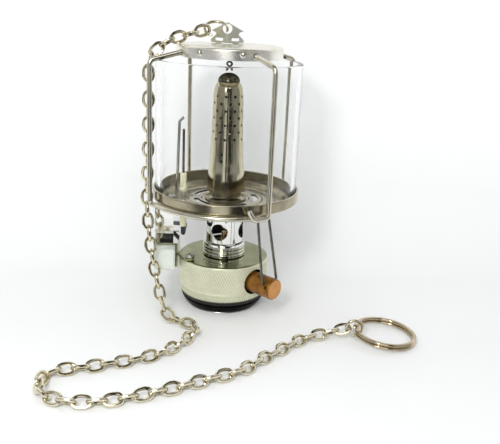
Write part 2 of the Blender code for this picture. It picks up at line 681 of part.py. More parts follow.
def control_knob():
    bore = SPINDLE_R + GAP
    bore_end = KNOB_ROOT + KNOB_BORE_DEPTH
    profile = [
        (bore, KNOB_ROOT), (KNOB_R - KNOB_EDGE, KNOB_ROOT), (KNOB_R, KNOB_ROOT + KNOB_EDGE),
        (KNOB_R, KNOB_TIP - KNOB_EDGE), (KNOB_R - KNOB_EDGE, KNOB_TIP), (0, KNOB_TIP),
        (0, bore_end), (bore, bore_end),
    ]
    made = on_knob_axis(turned("control_knob", profile, ROUND_COUNT, "amber_brass", knob_frame()))
    frame = knob_frame()
    half = KNOB_R + OVERRUN
    # The open key hole near the tip, drilled across the knob and a little tilted
    tilt = Matrix.Rotation(KEY_HOLE_TILT, 4, "Z") @ Matrix.Rotation(math.pi / 2, 4, "X")
    place = Matrix.Translation(Vector((0, 0, KNOB_TIP - KEY_HOLE_INSET))) @ tilt
    bm = bmesh.new()
    add_turned(bm, rod_profile(KEY_HOLE_R, -half, half), TINY_COUNT, frame @ place)
    boolean(made, cutter("key_hole", bm))
    # The hole near the top that takes the bail's two feet
    across = Matrix.Rotation(math.pi / 2, 4, "X")
    place = Matrix.Translation(Vector((BAIL_PIVOT_RISE, 0, BAIL_PIVOT_REACH))) @ across
    bm = bmesh.new()
    add_turned(bm, rod_profile(BAIL_WIRE_R + GAP / 2, -half, half), TINY_COUNT, frame @ place)
    return boolean(made, cutter("bail_hole", bm))


def knob_bail():
    """A U of wire, folded up against the lantern, with its feet turned into the knob."""
    frame = knob_frame()
    pivot = frame @ Vector((BAIL_PIVOT_RISE, 0, BAIL_PIVOT_REACH))
    rise = (DISH_UNDER_Z - BAIL_TOP_CLEARANCE - BAIL_WIRE_R - pivot.z) / math.cos(BAIL_LEAN)
    offset = bail_offset()
    top = BAIL_TOP_WIDTH / 2
    flat = [Vector((0, offset - BAIL_FOOT_LENGTH, 0)), Vector((0, offset, 0)),
            Vector((rise, top, 0)), Vector((rise, -top, 0)), Vector((0, -offset, 0)),
            Vector((0, BAIL_FOOT_LENGTH - offset, 0))]
    lean = Matrix.Rotation(BAIL_LEAN, 4, "Y")
    turn = Matrix.Translation(pivot) @ frame.to_3x3().to_4x4() @ lean
    route = [turn @ point for point in rounded(flat, BAIL_BEND_R, 3)]
    made = swept("knob_bail", route, BAIL_WIRE_R, WIRE_SIDE_COUNT, "steel", origin=pivot)
    return made


def mixer_flange():
    neck = NECK_R + GAP
    roof = FLANGE_TOP_Z - FLANGE_ROOF
    jet = JET_R + GAP
    lip_top = FLANGE_FOOT_Z + FLANGE_LIP
    upper_lip = FLANGE_TOP_Z - FLANGE_LIP
    profile = [
        (neck, FLANGE_FOOT_Z), (FLANGE_R, FLANGE_FOOT_Z), (FLANGE_R, lip_top),
        (FLANGE_WAIST_R, lip_top), (FLANGE_WAIST_R, lip_top + FLANGE_GROOVE),
        (FLANGE_R - FLANGE_GROOVE / 2, lip_top + FLANGE_GROOVE),
        (FLANGE_R - FLANGE_GROOVE / 2, upper_lip - FLANGE_GROOVE),
        (FLANGE_WAIST_R, upper_lip - FLANGE_GROOVE), (FLANGE_WAIST_R, upper_lip),
        (FLANGE_R, upper_lip), (FLANGE_R, FLANGE_TOP_Z), (jet, FLANGE_TOP_Z), (jet, roof),
        (neck, roof),
    ]
    return turned("mixer_flange", profile, ROUND_COUNT, "chrome")


def gas_jet():
    foot = NECK_TOP_Z + GAP
    shank = foot - JET_SHANK_LENGTH
    hexagon = foot + JET_HEX_HEIGHT
    tip = foot + JET_LENGTH
    bore = PASSAGE_R
    profile = [
        (bore, shank), (JET_SHANK_R, shank), (JET_SHANK_R, foot), (JET_R, foot), (JET_R, hexagon),
        (JET_R - JET_TIP_R, hexagon), (JET_TIP_R, tip), (0, tip), (0, foot), (bore, foot),
    ]
    return turned("gas_jet", profile, SMALL_COUNT, "valve_brass")


def mixing_tube():
    inner = TUBE_R - TUBE_WALL
    spigot_inner = SPIGOT_R - TUBE_WALL
    top = DISH_FLOOR_Z + SPIGOT_RISE
    profile = [
        (inner, TUBE_FOOT_Z), (TUBE_R, TUBE_FOOT_Z), (TUBE_R, TUBE_TOP_Z),
        (SPIGOT_R, TUBE_TOP_Z), (SPIGOT_R, top), (spigot_inner, top),
        (spigot_inner, TUBE_TOP_Z - TUBE_WALL), (inner, TUBE_TOP_Z - TUBE_WALL),
    ]
    made = turned("mixing_tube", profile, ROUND_COUNT, "chrome")
    for index in range(2):
        azimuth = AIR_HOLE_AZIMUTH + index * math.pi / 2
        place = (Matrix.Translation(Vector((0, 0, TUBE_FOOT_Z + AIR_HOLE_RISE)))
                 @ Matrix.Rotation(azimuth, 4, "Z") @ Matrix.Rotation(math.pi / 2, 4, "Y"))
        bm = bmesh.new()
        add_turned(bm, rod_profile(AIR_HOLE_R, -TUBE_R - OVERRUN, TUBE_R + OVERRUN), SMALL_COUNT, place)
        boolean(made, cutter(f"air_hole_{index + 1}", bm))
    return made


def burner_dish():
    under = DISH_UNDER_Z
    hub = SPIGOT_R + GAP
    seat_under = DISH_SEAT_Z - SHEET
    rim_inner = DISH_R - SHEET
    corner = arc((DISH_R - DISH_CORNER, seat_under + DISH_CORNER), DISH_CORNER, -math.pi / 2, 0, 2)
    profile = [(hub, under), (DISH_FLOOR_R, under), (DISH_SEAT_R, seat_under)]
    profile += corner
    profile += [
        (DISH_R, DISH_RIM_Z), (rim_inner, DISH_RIM_Z), (rim_inner, DISH_SEAT_Z),
        (DISH_SEAT_R - SHEET / 2, DISH_SEAT_Z), (DISH_FLOOR_R - SHEET / 2, DISH_FLOOR_Z),
        (hub, DISH_FLOOR_Z),
    ]
    made = turned("burner_dish", profile, FINE_COUNT, "dish_steel")
    bm = bmesh.new()
    steps = 4
    for index in range(VENT_COUNT):
        middle = VENT_AZIMUTH + math.tau * index / VENT_COUNT
        start = middle - VENT_SPAN / 2
        end = middle + VENT_SPAN / 2
        outline = arc((0, 0), VENT_R - VENT_WIDTH / 2, start, end, steps)
        outline += arc((0, 0), VENT_R + VENT_WIDTH / 2, end, start, steps)
        add_prism(bm, outline, under - OVERRUN, DISH_FLOOR_Z + OVERRUN)
    boolean(made, cutter("dish_vents", bm))
    bm = bmesh.new()
    for (x, y), radius in ((INSULATOR_AT, INSULATOR_R + GAP), (DISH_SCREW_AT, SCREW_R + GAP),
                           (DISH_PIN_HOLE_AT, DISH_PIN_HOLE_R)):
        hole = rod_profile(radius, under - OVERRUN, DISH_FLOOR_Z + OVERRUN)
        add_turned(bm, hole, TINY_COUNT, upright(x, y))
    return boolean(made, cutter("dish_holes", bm))


def burner_nut():
    bore = SPIGOT_R + GAP
    profile = [(bore, NUT_FOOT_Z), (NUT_R, NUT_FOOT_Z), (NUT_R, NUT_TOP_Z - NUT_CHAMFER),
               (NUT_R - NUT_CHAMFER, NUT_TOP_Z), (bore, NUT_TOP_Z)]
    return turned("burner_nut", profile, ROUND_COUNT, "chrome")


def burner_radius(share):
    """The burner tube's outer radius at a share of its height."""
    table = BURNER_RADIUS_SHARES + BURNER_SHOULDER_SHARES
    for (low, small), (high, large) in zip(table, table[1:]):
        if share <= high:
            return BURNER_FOOT_R * (small + (large - small) * (share - low) / (high - low))
    return BURNER_FOOT_R * table[-1][1]


def burner_tube():
    shares = [share for share, _ in BURNER_RADIUS_SHARES + BURNER_SHOULDER_SHARES]
    outside = [(burner_radius(share), BURNER_FOOT_Z + share * BURNER_HEIGHT) for share in shares]
    inside = [(radius - BURNER_WALL, height) for radius, height in outside[:-2]]
    inside.append((outside[-1][0] - BURNER_WALL, outside[-2][1] - BURNER_WALL))
    inside.append((outside[-1][0] - BURNER_WALL, BURNER_TOP_Z))
    sides = 2 * HOLES_PER_ROW_COUNT
    made = turned("burner_tube", outside + inside[::-1], sides, "chrome")
    bm = bmesh.new()
    low, high = HOLE_BAND_SHARES
    for row in range(HOLE_ROW_COUNT):
        share = low + (high - low) * row / (HOLE_ROW_COUNT - 1)
        height = BURNER_FOOT_Z + share * BURNER_HEIGHT
        outer = burner_radius(share)
        for step in range(HOLES_PER_ROW_COUNT):
            azimuth = math.tau * (2 * step + row % 2 + 0.5) / sides
            add_turned(bm, rod_profile(HOLE_R, outer - BURNER_WALL - OVERRUN, outer + OVERRUN),
                       HOLE_SIDE_COUNT, radial_frame(azimuth, height))
    for share in SEAM_HOLE_SHARES:
        outer = burner_radius(share)
        add_turned(bm, rod_profile(SEAM_HOLE_R, outer - BURNER_WALL - OVERRUN, outer + OVERRUN),
                   HOLE_SIDE_COUNT, radial_frame(SEAM_AZIMUTH, BURNER_FOOT_Z + share * BURNER_HEIGHT))
    return boolean(made, cutter("burner_holes", bm))


def radial_frame(azimuth, height):
    """Local Z points away from the lantern's axis at the given azimuth and height."""
    return (Matrix.Translation(Vector((0, 0, height))) @ Matrix.Rotation(azimuth, 4, "Z")
            @ Matrix.Rotation(math.pi / 2, 4, "Y"))


def burner_cap():
    rim = burner_radius(1.0)
    seat = BURNER_TOP_Z + GAP
    plug = rim - BURNER_WALL - GAP
    profile = [(0, seat - DOME_PLUG), (plug, seat - DOME_PLUG), (plug, seat), (rim, seat)]
    dome = arc((0, 0), 1.0, 0, math.pi / 2, 4)[1:-1]
    profile += [(rim * x, seat + DOME_RISE * y) for x, y in dome]
    profile.append((0, seat + DOME_RISE))
    return turned("burner_cap", profile, ROUND_COUNT, "blued_steel")


def mantle_hook():
    """A bent wire that stands on the burner cap: two feet that cross below a small eye."""
    foot = BURNER_TOP_Z + GAP + DOME_RISE + GAP + HOOK_WIRE_R
    side = HOOK_WIRE_R + GAP / 2
    w = HOOK_HALF_WIDTH
    h = HOOK_RISE
    shares = ((-1.0, -1.0, 0.0), (-0.45, -1.0, 0.22), (0.3, -1.0, 0.5), (0.75, -0.6, 0.76),
              (0.0, 0.0, 1.0), (-0.75, 0.6, 0.76), (-0.3, 1.0, 0.5), (0.45, 1.0, 0.22),
              (1.0, 1.0, 0.0))
    points = [Vector((x * w, y * side, foot + z * h)) for x, y, z in shares]
    return swept("mantle_hook", smooth_route(points, 2), HOOK_WIRE_R, 5, "blued_steel")


def ceramic_insulator():
    seat = DISH_FLOOR_Z + GAP
    bore = ROD_R + GAP
    top = seat + INSULATOR_RISE
    foot = DISH_UNDER_Z - INSULATOR_DROP
    shoulder = seat + INSULATOR_SHOULDER_HEIGHT
    roof = top - ROD_FOOT_INSET
    profile = [
        (0, foot), (INSULATOR_R, foot), (INSULATOR_R, seat), (INSULATOR_SHOULDER_R, seat),
        (INSULATOR_SHOULDER_R, shoulder), (INSULATOR_R, shoulder + GAP), (INSULATOR_R, top),
        (bore, top), (bore, roof - OVERRUN), (0, roof - OVERRUN),
    ]
    return turned("ceramic_insulator", profile, SMALL_COUNT, "ceramic", upright(*INSULATOR_AT))


def electrode_rod():
    """A straight wire that stands in the ceramic."""
    top = DISH_FLOOR_Z + GAP + INSULATOR_RISE
    tip = BURNER_FOOT_Z + ROD_TOP_SHARE * BURNER_HEIGHT
    return turned("electrode_rod", rod_profile(ROD_R, top - ROD_FOOT_INSET, tip), TINY_COUNT,
                  "steel", upright(*INSULATOR_AT))


def ground_electrode():
    """A wire that stands on the dish's floor and hooks over the electrode's tip."""
    x, y = INSULATOR_AT
    top = BURNER_FOOT_Z + GROUND_TOP_SHARE * BURNER_HEIGHT
    bend = Vector((x - GROUND_OFFSET + GROUND_LEAN, y, top - GROUND_HOOK))
    points = [Vector((x - GROUND_OFFSET, y, DISH_FLOOR_Z + GAP)), bend, Vector((x, y, top))]
    return swept("ground_electrode", rounded(points, GROUND_BEND_R, 2), GROUND_R,
                 WIRE_SIDE_COUNT, "steel")


def igniter_bracket():
    """One folded sheet: a housing for the igniter, an arm, a tab under the dish and a foot."""
    back = HOUSING_FRONT_Y + HOUSING_LENGTH
    left = IGNITER_X - HOUSING_HALF_WIDTH
    right = IGNITER_X + HOUSING_HALF_WIDTH
    low = IGNITER_Z - HOUSING_HALF_HEIGHT
    high = IGNITER_Z + HOUSING_HALF_HEIGHT
    tab_top = DISH_UNDER_Z - GAP
    bm = bmesh.new()
    add_box(bm, (left, HOUSING_FRONT_Y, low), (right, back, high))
    made = solid("igniter_bracket", bm, "chrome")
    bm = bmesh.new()
    arm_left = left + FUSE
    add_box(bm, (arm_left, ARM_Y, high - HOUSING_WALL + FUSE),
            (arm_left + ARM_WIDTH, ARM_Y + ARM_THICKNESS, tab_top))
    boolean(made, cutter("bracket_arm", bm), "UNION")
    bm = bmesh.new()
    # The tab takes the screw and always reaches the arm
    tab_left = min(DISH_SCREW_AT[0] - TAB_LEFT_MARGIN, arm_left + ARM_WIDTH - ARM_THICKNESS)
    add_box(bm, (tab_left, INSULATOR_AT[1] - TAB_MARGIN, tab_top - ARM_THICKNESS),
            (INSULATOR_AT[0] + TAB_MARGIN, ARM_Y + ARM_THICKNESS - FUSE, tab_top + FUSE))
    boolean(made, cutter("bracket_tab", bm), "UNION")
    bm = bmesh.new()
    outline = [(x * COLLAR_R, y * COLLAR_R) for x, y in FOOT_SHARES]
    add_prism(bm, outline, COLLAR_TOP_Z + GAP, COLLAR_TOP_Z + GAP + ARM_THICKNESS)
    boolean(made, cutter("bracket_foot", bm), "UNION")
    bm = bmesh.new()
    add_box(bm, (left + HOUSING_WALL, HOUSING_FRONT_Y - OVERRUN, low + HOUSING_WALL),
            (right - HOUSING_WALL, back + OVERRUN, high - HOUSING_WALL))
    boolean(made, cutter("bracket_hollow", bm))
    bm = bmesh.new()
    for (x, y), radius in ((INSULATOR_AT, INSULATOR_R + GAP), (DISH_SCREW_AT, SCREW_R + GAP)):
        hole = rod_profile(radius, tab_top - ARM_THICKNESS - OVERRUN, tab_top + OVERRUN)
        add_turned(bm, hole, TINY_COUNT, upright(x, y))
    x, y = (share * COLLAR_R for share in FOOT_SCREW_SHARES)
    hole = rod_profile(SCREW_R + GAP, COLLAR_TOP_Z - OVERRUN, COLLAR_TOP_Z + OVERRUN + OVERRUN)
    add_turned(bm, hole, TINY_COUNT, upright(x, y))
    return boolean(made, cutter("bracket_holes", bm))


def screw(name, x, y, head_z):
    """A pan head screw whose head rests on a face at head_z."""
    crown = head_z + SCREW_HEAD_HEIGHT
    profile = [(0, head_z - SCREW_LENGTH), (SCREW_R, head_z - SCREW_LENGTH), (SCREW_R, head_z),
               (SCREW_HEAD_R, head_z), (SCREW_HEAD_R, crown - KNOB_EDGE),
               (SCREW_HEAD_R - KNOB_EDGE, crown), (0, crown)]
    return turned(name, profile, SMALL_COUNT, "steel", upright(x, y))


def screws():
    x, y = (share * COLLAR_R for share in FOOT_SCREW_SHARES)
    return [screw("dish_screw", *DISH_SCREW_AT, DISH_FLOOR_Z + GAP),
            screw("collar_screw", x, y, COLLAR_TOP_Z + GAP + ARM_THICKNESS + GAP)]


def igniter_frame():
    """Local Z runs into the housing, the way the button is pressed."""
    frame = Matrix.Rotation(-math.pi / 2, 4, "X")
    frame.translation = Vector((IGNITER_X, HOUSING_FRONT_Y, IGNITER_Z))
    return frame


def igniter_button():
    half_width = BUTTON_WIDTH / 2
    half_height = BUTTON_HEIGHT / 2
    bm = bmesh.new()
    outline = []
    for sign_x, sign_z in ((1, 1), (-1, 1), (-1, -1), (1, -1)):
        centre = (sign_x * (half_width - BUTTON_EDGE), sign_z * (half_height - BUTTON_EDGE))
        start = {(1, 1): 0, (-1, 1): 1, (-1, -1): 2, (1, -1): 3}[(sign_x, sign_z)] * math.pi / 2
        outline += arc(centre, BUTTON_EDGE, start, start + math.pi / 2, 2)
    frame = igniter_frame()
    add_prism(bm, outline, -BUTTON_PROUD, BUTTON_HELD, frame)
    face = [v for v in bm.verts if (frame.inverted() @ v.co).z < 0]
    edges = [e for e in bm.edges if all(v in face for v in e.verts)]
    bmesh.ops.bevel(bm, geom=edges, offset=BUTTON_EDGE, segments=2, affect="EDGES")
    origin = Vector((IGNITER_X, HOUSING_FRONT_Y - BUTTON_PROUD, IGNITER_Z))
    made = solid("igniter_button", bm, "white_plastic", origin)
    bm = bmesh.new()
    add_turned(bm, rod_profile(PLUNGER_R, BUTTON_HELD - FUSE, BUTTON_HELD + PLUNGER_LENGTH),
               TINY_COUNT, frame)
    return boolean(made, cutter("button_plunger", bm), "UNION")


def piezo_body():
    half_width = BUTTON_WIDTH / 2
    half_height = BUTTON_HEIGHT / 2
    start = HOUSING_FRONT_Y + BUTTON_HELD + PRESS_TRAVEL + GAP
    bm = bmesh.new()
    add_box(bm, (IGNITER_X - half_width, start, IGNITER_Z - half_height),
            (IGNITER_X + half_width, start + PIEZO_LENGTH, IGNITER_Z + half_height))
    made = solid("piezo_body", bm, "black_plastic")
    bm = bmesh.new()
    depth = BUTTON_HELD + PLUNGER_LENGTH + PRESS_TRAVEL + GAP
    add_turned(bm, rod_profile(PLUNGER_R + GAP, 0, depth), TINY_COUNT, igniter_frame())
    return boolean(made, cutter("plunger_bore", bm))


def ignition_lead():
    """The short insulated lead from the back of the piezo unit to the ceramic's foot."""
    x, y = INSULATOR_AT
    back = (HOUSING_FRONT_Y + BUTTON_HELD + PRESS_TRAVEL + GAP + PIEZO_LENGTH + GAP)
    foot = DISH_UNDER_Z - INSULATOR_DROP - GAP
    mid_z = (IGNITER_Z + foot) / 2
    points = [
        Vector((IGNITER_X, back, IGNITER_Z)), Vector((IGNITER_X, back + LEAD_LOOP, IGNITER_Z)),
        Vector((IGNITER_X, back + LEAD_LOOP, mid_z)),
        Vector((x, back / 2, mid_z + LEAD_LOOP)),
        Vector((x, y, foot - LEAD_LOOP)), Vector((x, y, foot)),
    ]
    return swept("ignition_lead", rounded(points, LEAD_LOOP, 4), LEAD_R, WIRE_SIDE_COUNT,
                 "black_plastic")


def glass_globe():
    inner = GLOBE_R - GLOBE_WALL
    profile = [
        (inner + GLOBE_EDGE, GLOBE_FOOT_Z), (GLOBE_R - GLOBE_EDGE, GLOBE_FOOT_Z),
        (GLOBE_R, GLOBE_FOOT_Z + GLOBE_EDGE), (GLOBE_R, GLOBE_TOP_Z - GLOBE_EDGE),
        (GLOBE_R - GLOBE_EDGE, GLOBE_TOP_Z), (inner + GLOBE_EDGE, GLOBE_TOP_Z),
        (inner, GLOBE_TOP_Z - GLOBE_EDGE), (inner, GLOBE_FOOT_Z + GLOBE_EDGE),
    ]
    return turned("glass_globe", profile, FINE_COUNT, "glass")


def leg_shoulder_z():
    """The slanted wire clears the globe's rim by the gap, and so fixes its shoulder's height."""
    run = GLOBE_R - CAP_R
    drop = WIRE_EXIT_Z - GLOBE_TOP_Z - GAP
    slope = drop / run
    for _ in range(8):
        slope = (drop - WIRE_R * math.sqrt(1 + slope ** 2)) / run
    return WIRE_EXIT_Z - slope * (LEG_R - CAP_R)


def tucked_end(azimuth, turn, span):
    """The wire's upper end: its tip pokes out of the cap's skirt, and it runs inside the skirt."""
    start = azimuth + turn * span
    points = [polar(CAP_R + WIRE_TIP_PROUD, start + turn * span / 8, WIRE_EXIT_Z)]
    steps = 3
    for step in range(steps + 1):
        points.append(polar(WIRE_INNER_R, start - turn * (span * 0.8) * step / steps, WIRE_EXIT_Z))
    return points


def hoop_wire_route(azimuth, other_leg):
    """Cap, shoulder, leg, and then the hoop that hugs the dish as far as the other leg."""
    points = tucked_end(azimuth, 1, TUCK_SPAN)
    points.append(polar(LEG_R, azimuth, leg_shoulder_z()))
    points.append(polar(LEG_R, azimuth, hoop_z()))
    end = other_leg - HOOP_END_MARGIN
    start = azimuth + FOOT_SPAN / 2
    for step in range(HOOP_STEP_COUNT + 1):
        turn = (end - start) * step / HOOP_STEP_COUNT
        points.append(polar(HOOP_R, start + turn, hoop_z()))
    return rounded(points[:7], WIRE_BEND_R, BEND_STEP_COUNT) + points[8:]


def hook_wire_route(azimuth):
    """Cap, shoulder, leg, and a short foot that catches the hoop's end and turns up."""
    points = tucked_end(azimuth, -1, SHORT_TUCK_SPAN)
    points.append(polar(LEG_R, azimuth, leg_shoulder_z()))
    leg = polar(LEG_R, azimuth, hoop_z())
    points.append(leg)
    points.append(polar(FOOT_R, azimuth - FOOT_SPAN, hoop_z()))
    points.append(polar(FOOT_R, azimuth - FOOT_SPAN * 1.35, hoop_z() + FOOT_TIP_RISE))
    upper = rounded(points[:7], WIRE_BEND_R, BEND_STEP_COUNT)[:-1]
    lower = rounded(points[5:], WIRE_HOOK_BEND_R, SMALL_BEND_STEP_COUNT)[1:]
    return upper + lower


def hoop_z():
    return DISH_SEAT_Z - SHEET - GAP / 2


def spring_wires():
    routes = {
        "left_wire": hoop_wire_route(LEFT_LEG, FRONT_LEG),
        "front_wire": hook_wire_route(FRONT_LEG),
        "right_wire": hoop_wire_route(RIGHT_LEG, BACK_LEG),
        "back_wire": hook_wire_route(BACK_LEG),
    }
    for name, route in routes.items():
        swept(name, route, WIRE_R, WIRE_SIDE_COUNT, "wire_steel")
    return routes


def top_cap(routes):
    inner = CAP_R - CAP_WALL
    roof = CAP_TOP_Z - CAP_WALL
    corner = arc((CAP_R - CAP_CORNER, CAP_TOP_Z - CAP_CORNER), CAP_CORNER, 0, math.pi / 2, 3)
    profile = [(inner, CAP_FOOT_Z), (CAP_R, CAP_FOOT_Z)] + corner
    profile += [(CAP_R / 2, CAP_TOP_Z + CAP_DOME * 3 / 4), (0, CAP_TOP_Z + CAP_DOME), (0, roof),
                (inner - CAP_CORNER / 2, roof), (inner, roof - CAP_CORNER / 2)]
    made = turned("top_cap", profile, FINE_COUNT, "cap_steel")
    for name, route in routes.items():
        bm = bmesh.new()
        add_sweep(bm, route, WIRE_R + GAP, WIRE_SIDE_COUNT)
        boolean(made, cutter(f"cap_slot_{name}", bm))
    bm = bmesh.new()
    for side in (-1, 1):
        add_lug_tab(bm, side, GAP)
    return boolean(made, cutter("cap_tab_slots", bm))


def lug_face_frame(side):
    """Local X runs along one face of the folded lug, away from its fold, and local Y through it."""
    turn = LUG_FOLD if side > 0 else math.pi - LUG_FOLD
    return (Matrix.Translation(Vector((LUG_SHIFT, LUG_FRONT_Y, 0)))
            @ Matrix.Rotation(turn, 4, "Z"))


def add_lug_tab(bm, side, clearance):
    reach = LUG_HALF_WIDTH / math.cos(LUG_FOLD)
    middle = LUG_TAB_SHARE * reach
    half = LUG_TAB_WIDTH / 2 + clearance
    near, far = sorted((side * (FUSE - clearance), side * (LUG_SHEET - FUSE + clearance)))
    outline = [(middle - half, near), (middle + half, near), (middle + half, far),
               (middle - half, far)]
    add_prism(bm, outline, CAP_TOP_Z - LUG_TAB_DEPTH, lug_foot_z() + FUSE, lug_face_frame(side))


def lug_foot_z():
    return CAP_TOP_Z + CAP_DOME + GAP


def hanger_lug():
    """A strip folded down its middle, cut to the lug's arrow-shaped front view."""
    foot = lug_foot_z()
    height = LUG_HEIGHT - CAP_DOME - GAP
    rise = math.tan(LUG_FOLD)
    shift = LUG_SHEET / math.cos(LUG_FOLD)
    half = LUG_HALF_WIDTH + OVERRUN
    strip = [(-half, half * rise), (0, 0), (half, half * rise), (half, half * rise + shift),
             (0, shift), (-half, half * rise + shift)]
    bm = bmesh.new()
    place = Matrix.Translation(Vector((LUG_SHIFT, LUG_FRONT_Y, 0)))
    add_prism(bm, strip, foot - OVERRUN, foot + height + OVERRUN, place)
    made = solid("hanger_lug", bm, "cap_steel")
    right = [(x * LUG_HALF_WIDTH, z * height) for x, z in LUG_OUTLINE_SHARES]
    outline = right + [(-x, z) for x, z in right[:0:-1]]
    front = (Matrix.Translation(Vector((LUG_SHIFT, 0, foot))) @ Matrix.Rotation(math.pi / 2, 4, "X"))
    deep = LUG_HALF_WIDTH + LUG_HALF_WIDTH
    bm = bmesh.new()
    add_prism(bm, outline, -deep, deep, front)
    boolean(made, cutter("lug_outline", bm), "INTERSECT")
    bm = bmesh.new()
    for side in (-1, 1):
        add_lug_tab(bm, side, 0)
    boolean(made, cutter("lug_tabs", bm), "UNION")
    bm = bmesh.new()
    (x0, z0), (x1, z1) = LUG_WINDOW_SHARES
    for side in (-1, 1):
        window = [(side * x0 * LUG_HALF_WIDTH, z0 * height), (side * x1 * LUG_HALF_WIDTH, z0 * height),
                  (side * x1 * LUG_HALF_WIDTH, z1 * height), (side * x0 * LUG_HALF_WIDTH, z1 * height)]
        add_prism(bm, window, -deep, deep, front)
    eye = front @ Matrix.Translation(Vector((0, LUG_AXIS_Z - foot, 0)))
    add_turned(bm, rod_profile(LUG_EYE_R, -deep, deep), SMALL_COUNT, eye)
    return boolean(made, cutter("lug_openings", bm))


def ring_route(centre, radius, first, second, start, end, steps):
    """Points of a ring, or of part of one, in the plane of two unit vectors."""
    points = []
    for step in range(steps):
        angle = start + (end - start) * step / steps
        points.append(centre + radius * (math.cos(angle) * first + math.sin(angle) * second))
    return points


def lug_ring():
    tilted = Vector((0, math.cos(LUG_RING_TILT), math.sin(LUG_RING_TILT)))
    start, end = LUG_RING_MOUTH
    route = ring_route(LUG_RING_CENTRE, LUG_RING_R, Vector((1, 0, 0)), tilted, start, end,
                       RING_STEP_COUNT)
    return swept("lug_ring", route, LUG_RING_WIRE_R, WIRE_SIDE_COUNT, "nickel")


def walk_route(route, pitch):
    """Points one pitch apart along a route."""
    joints = [route[0]]
    index = 0
    while index + 1 < len(route):
        last = joints[-1]
        low, high = route[index], route[index + 1]
        if (high - last).length < pitch:
            index += 1
            continue
        inside, outside = 0.0, 1.0
        for _ in range(20):
            middle = (inside + outside) / 2
            if (low.lerp(high, middle) - last).length < pitch:
                inside = middle
            else:
                outside = middle
        joints.append(low.lerp(high, outside))
    return joints


def chain_joints():
    """Where each link bears on the next. The pitch stretches a little, so the last one is at
    the route's end."""
    route = smooth_route(CHAIN_ROUTE, 12)
    low = LINK_LENGTH - 4 * LINK_WIRE_R + LINK_BITE
    count = len(walk_route(route, low))
    high = low * (1 + 2 / count)
    for _ in range(16):
        middle = (low + high) / 2
        if len(walk_route(route, middle)) < count:
            high = middle
        else:
            low = middle
    return walk_route(route, low)


def link_frames(joints):
    """The chain's links: centre, direction and the two crosswise vectors, 45 degrees to the floor."""
    frames = []
    side = None
    for start, end in zip(joints[-2::-1], joints[:0:-1]):
        along = (end - start).normalized()
        if side is None:
            side = along.cross(Vector((0, 0, 1))).normalized()
        side = (side - along * side.dot(along)).normalized()
        frames.append(((start + end) / 2, along, side.copy(), along.cross(side)))
    return frames[::-1]


def add_link(bm, centre, along, across):
    """One oval link of round wire."""
    end_r = LINK_WIDTH / 2 - LINK_WIRE_R
    straight = LINK_LENGTH / 2 - LINK_WIDTH / 2
    route = []
    for sign in (1, -1):
        for step in range(4):
            angle = math.radians(-67.5 + 45 * step)
            offset = straight + end_r * math.cos(angle)
            route.append(centre + sign * (along * offset + across * end_r * math.sin(angle)))
    bm_sides = 4
    normal = along.cross(across)
    rings = []
    count = len(route)
    for index, point in enumerate(route):
        step = route[(index + 1) % count] - route[index - 1]
        outward = step.normalized().cross(normal)
        ring = []
        for corner in range(bm_sides):
            angle = math.tau * corner / bm_sides
            ring.append(bm.verts.new(
                point + LINK_WIRE_R * (math.cos(angle) * outward + math.sin(angle) * normal)))
        rings.append(ring)
    for lower, upper in zip(rings, rings[1:] + rings[:1]):
        for step in range(bm_sides):
            after = (step + 1) % bm_sides
            bm.faces.new((lower[step], lower[after], upper[after], upper[step]))


def hanging_chain():
    joints = chain_joints()
    meshes = (bmesh.new(), bmesh.new())
    for index, (centre, along, side, up) in enumerate(link_frames(joints)):
        lean = -1 if index % 2 else 1
        across = (side + lean * up).normalized()
        add_link(meshes[index % 2], centre, along, across)
    made = solid("hanging_chain", meshes[0], "nickel")
    boolean(made, cutter("chain_odd_links", meshes[1]), "UNION")
    length = sum((b - a).length for a, b in zip(joints, joints[1:]))
    print(f"chain: {len(joints) - 1} links, {length / MM:.1f} mm")
    return made


def ring_link_centre():
    x, y = RING_LINK_AT
    return Vector((x, y, RING_LINK_R + RING_LINK_WIRE_R + FLOOR_LIFT))


def ring_link():
    route = ring_route(ring_link_centre(), RING_LINK_R, Vector((1, 0, 0)), Vector((0, 0, 1)),
                       *RING_LINK_MOUTH, RING_STEP_COUNT)
    return swept("ring_link", route, RING_LINK_WIRE_R, WIRE_SIDE_COUNT, "nickel")


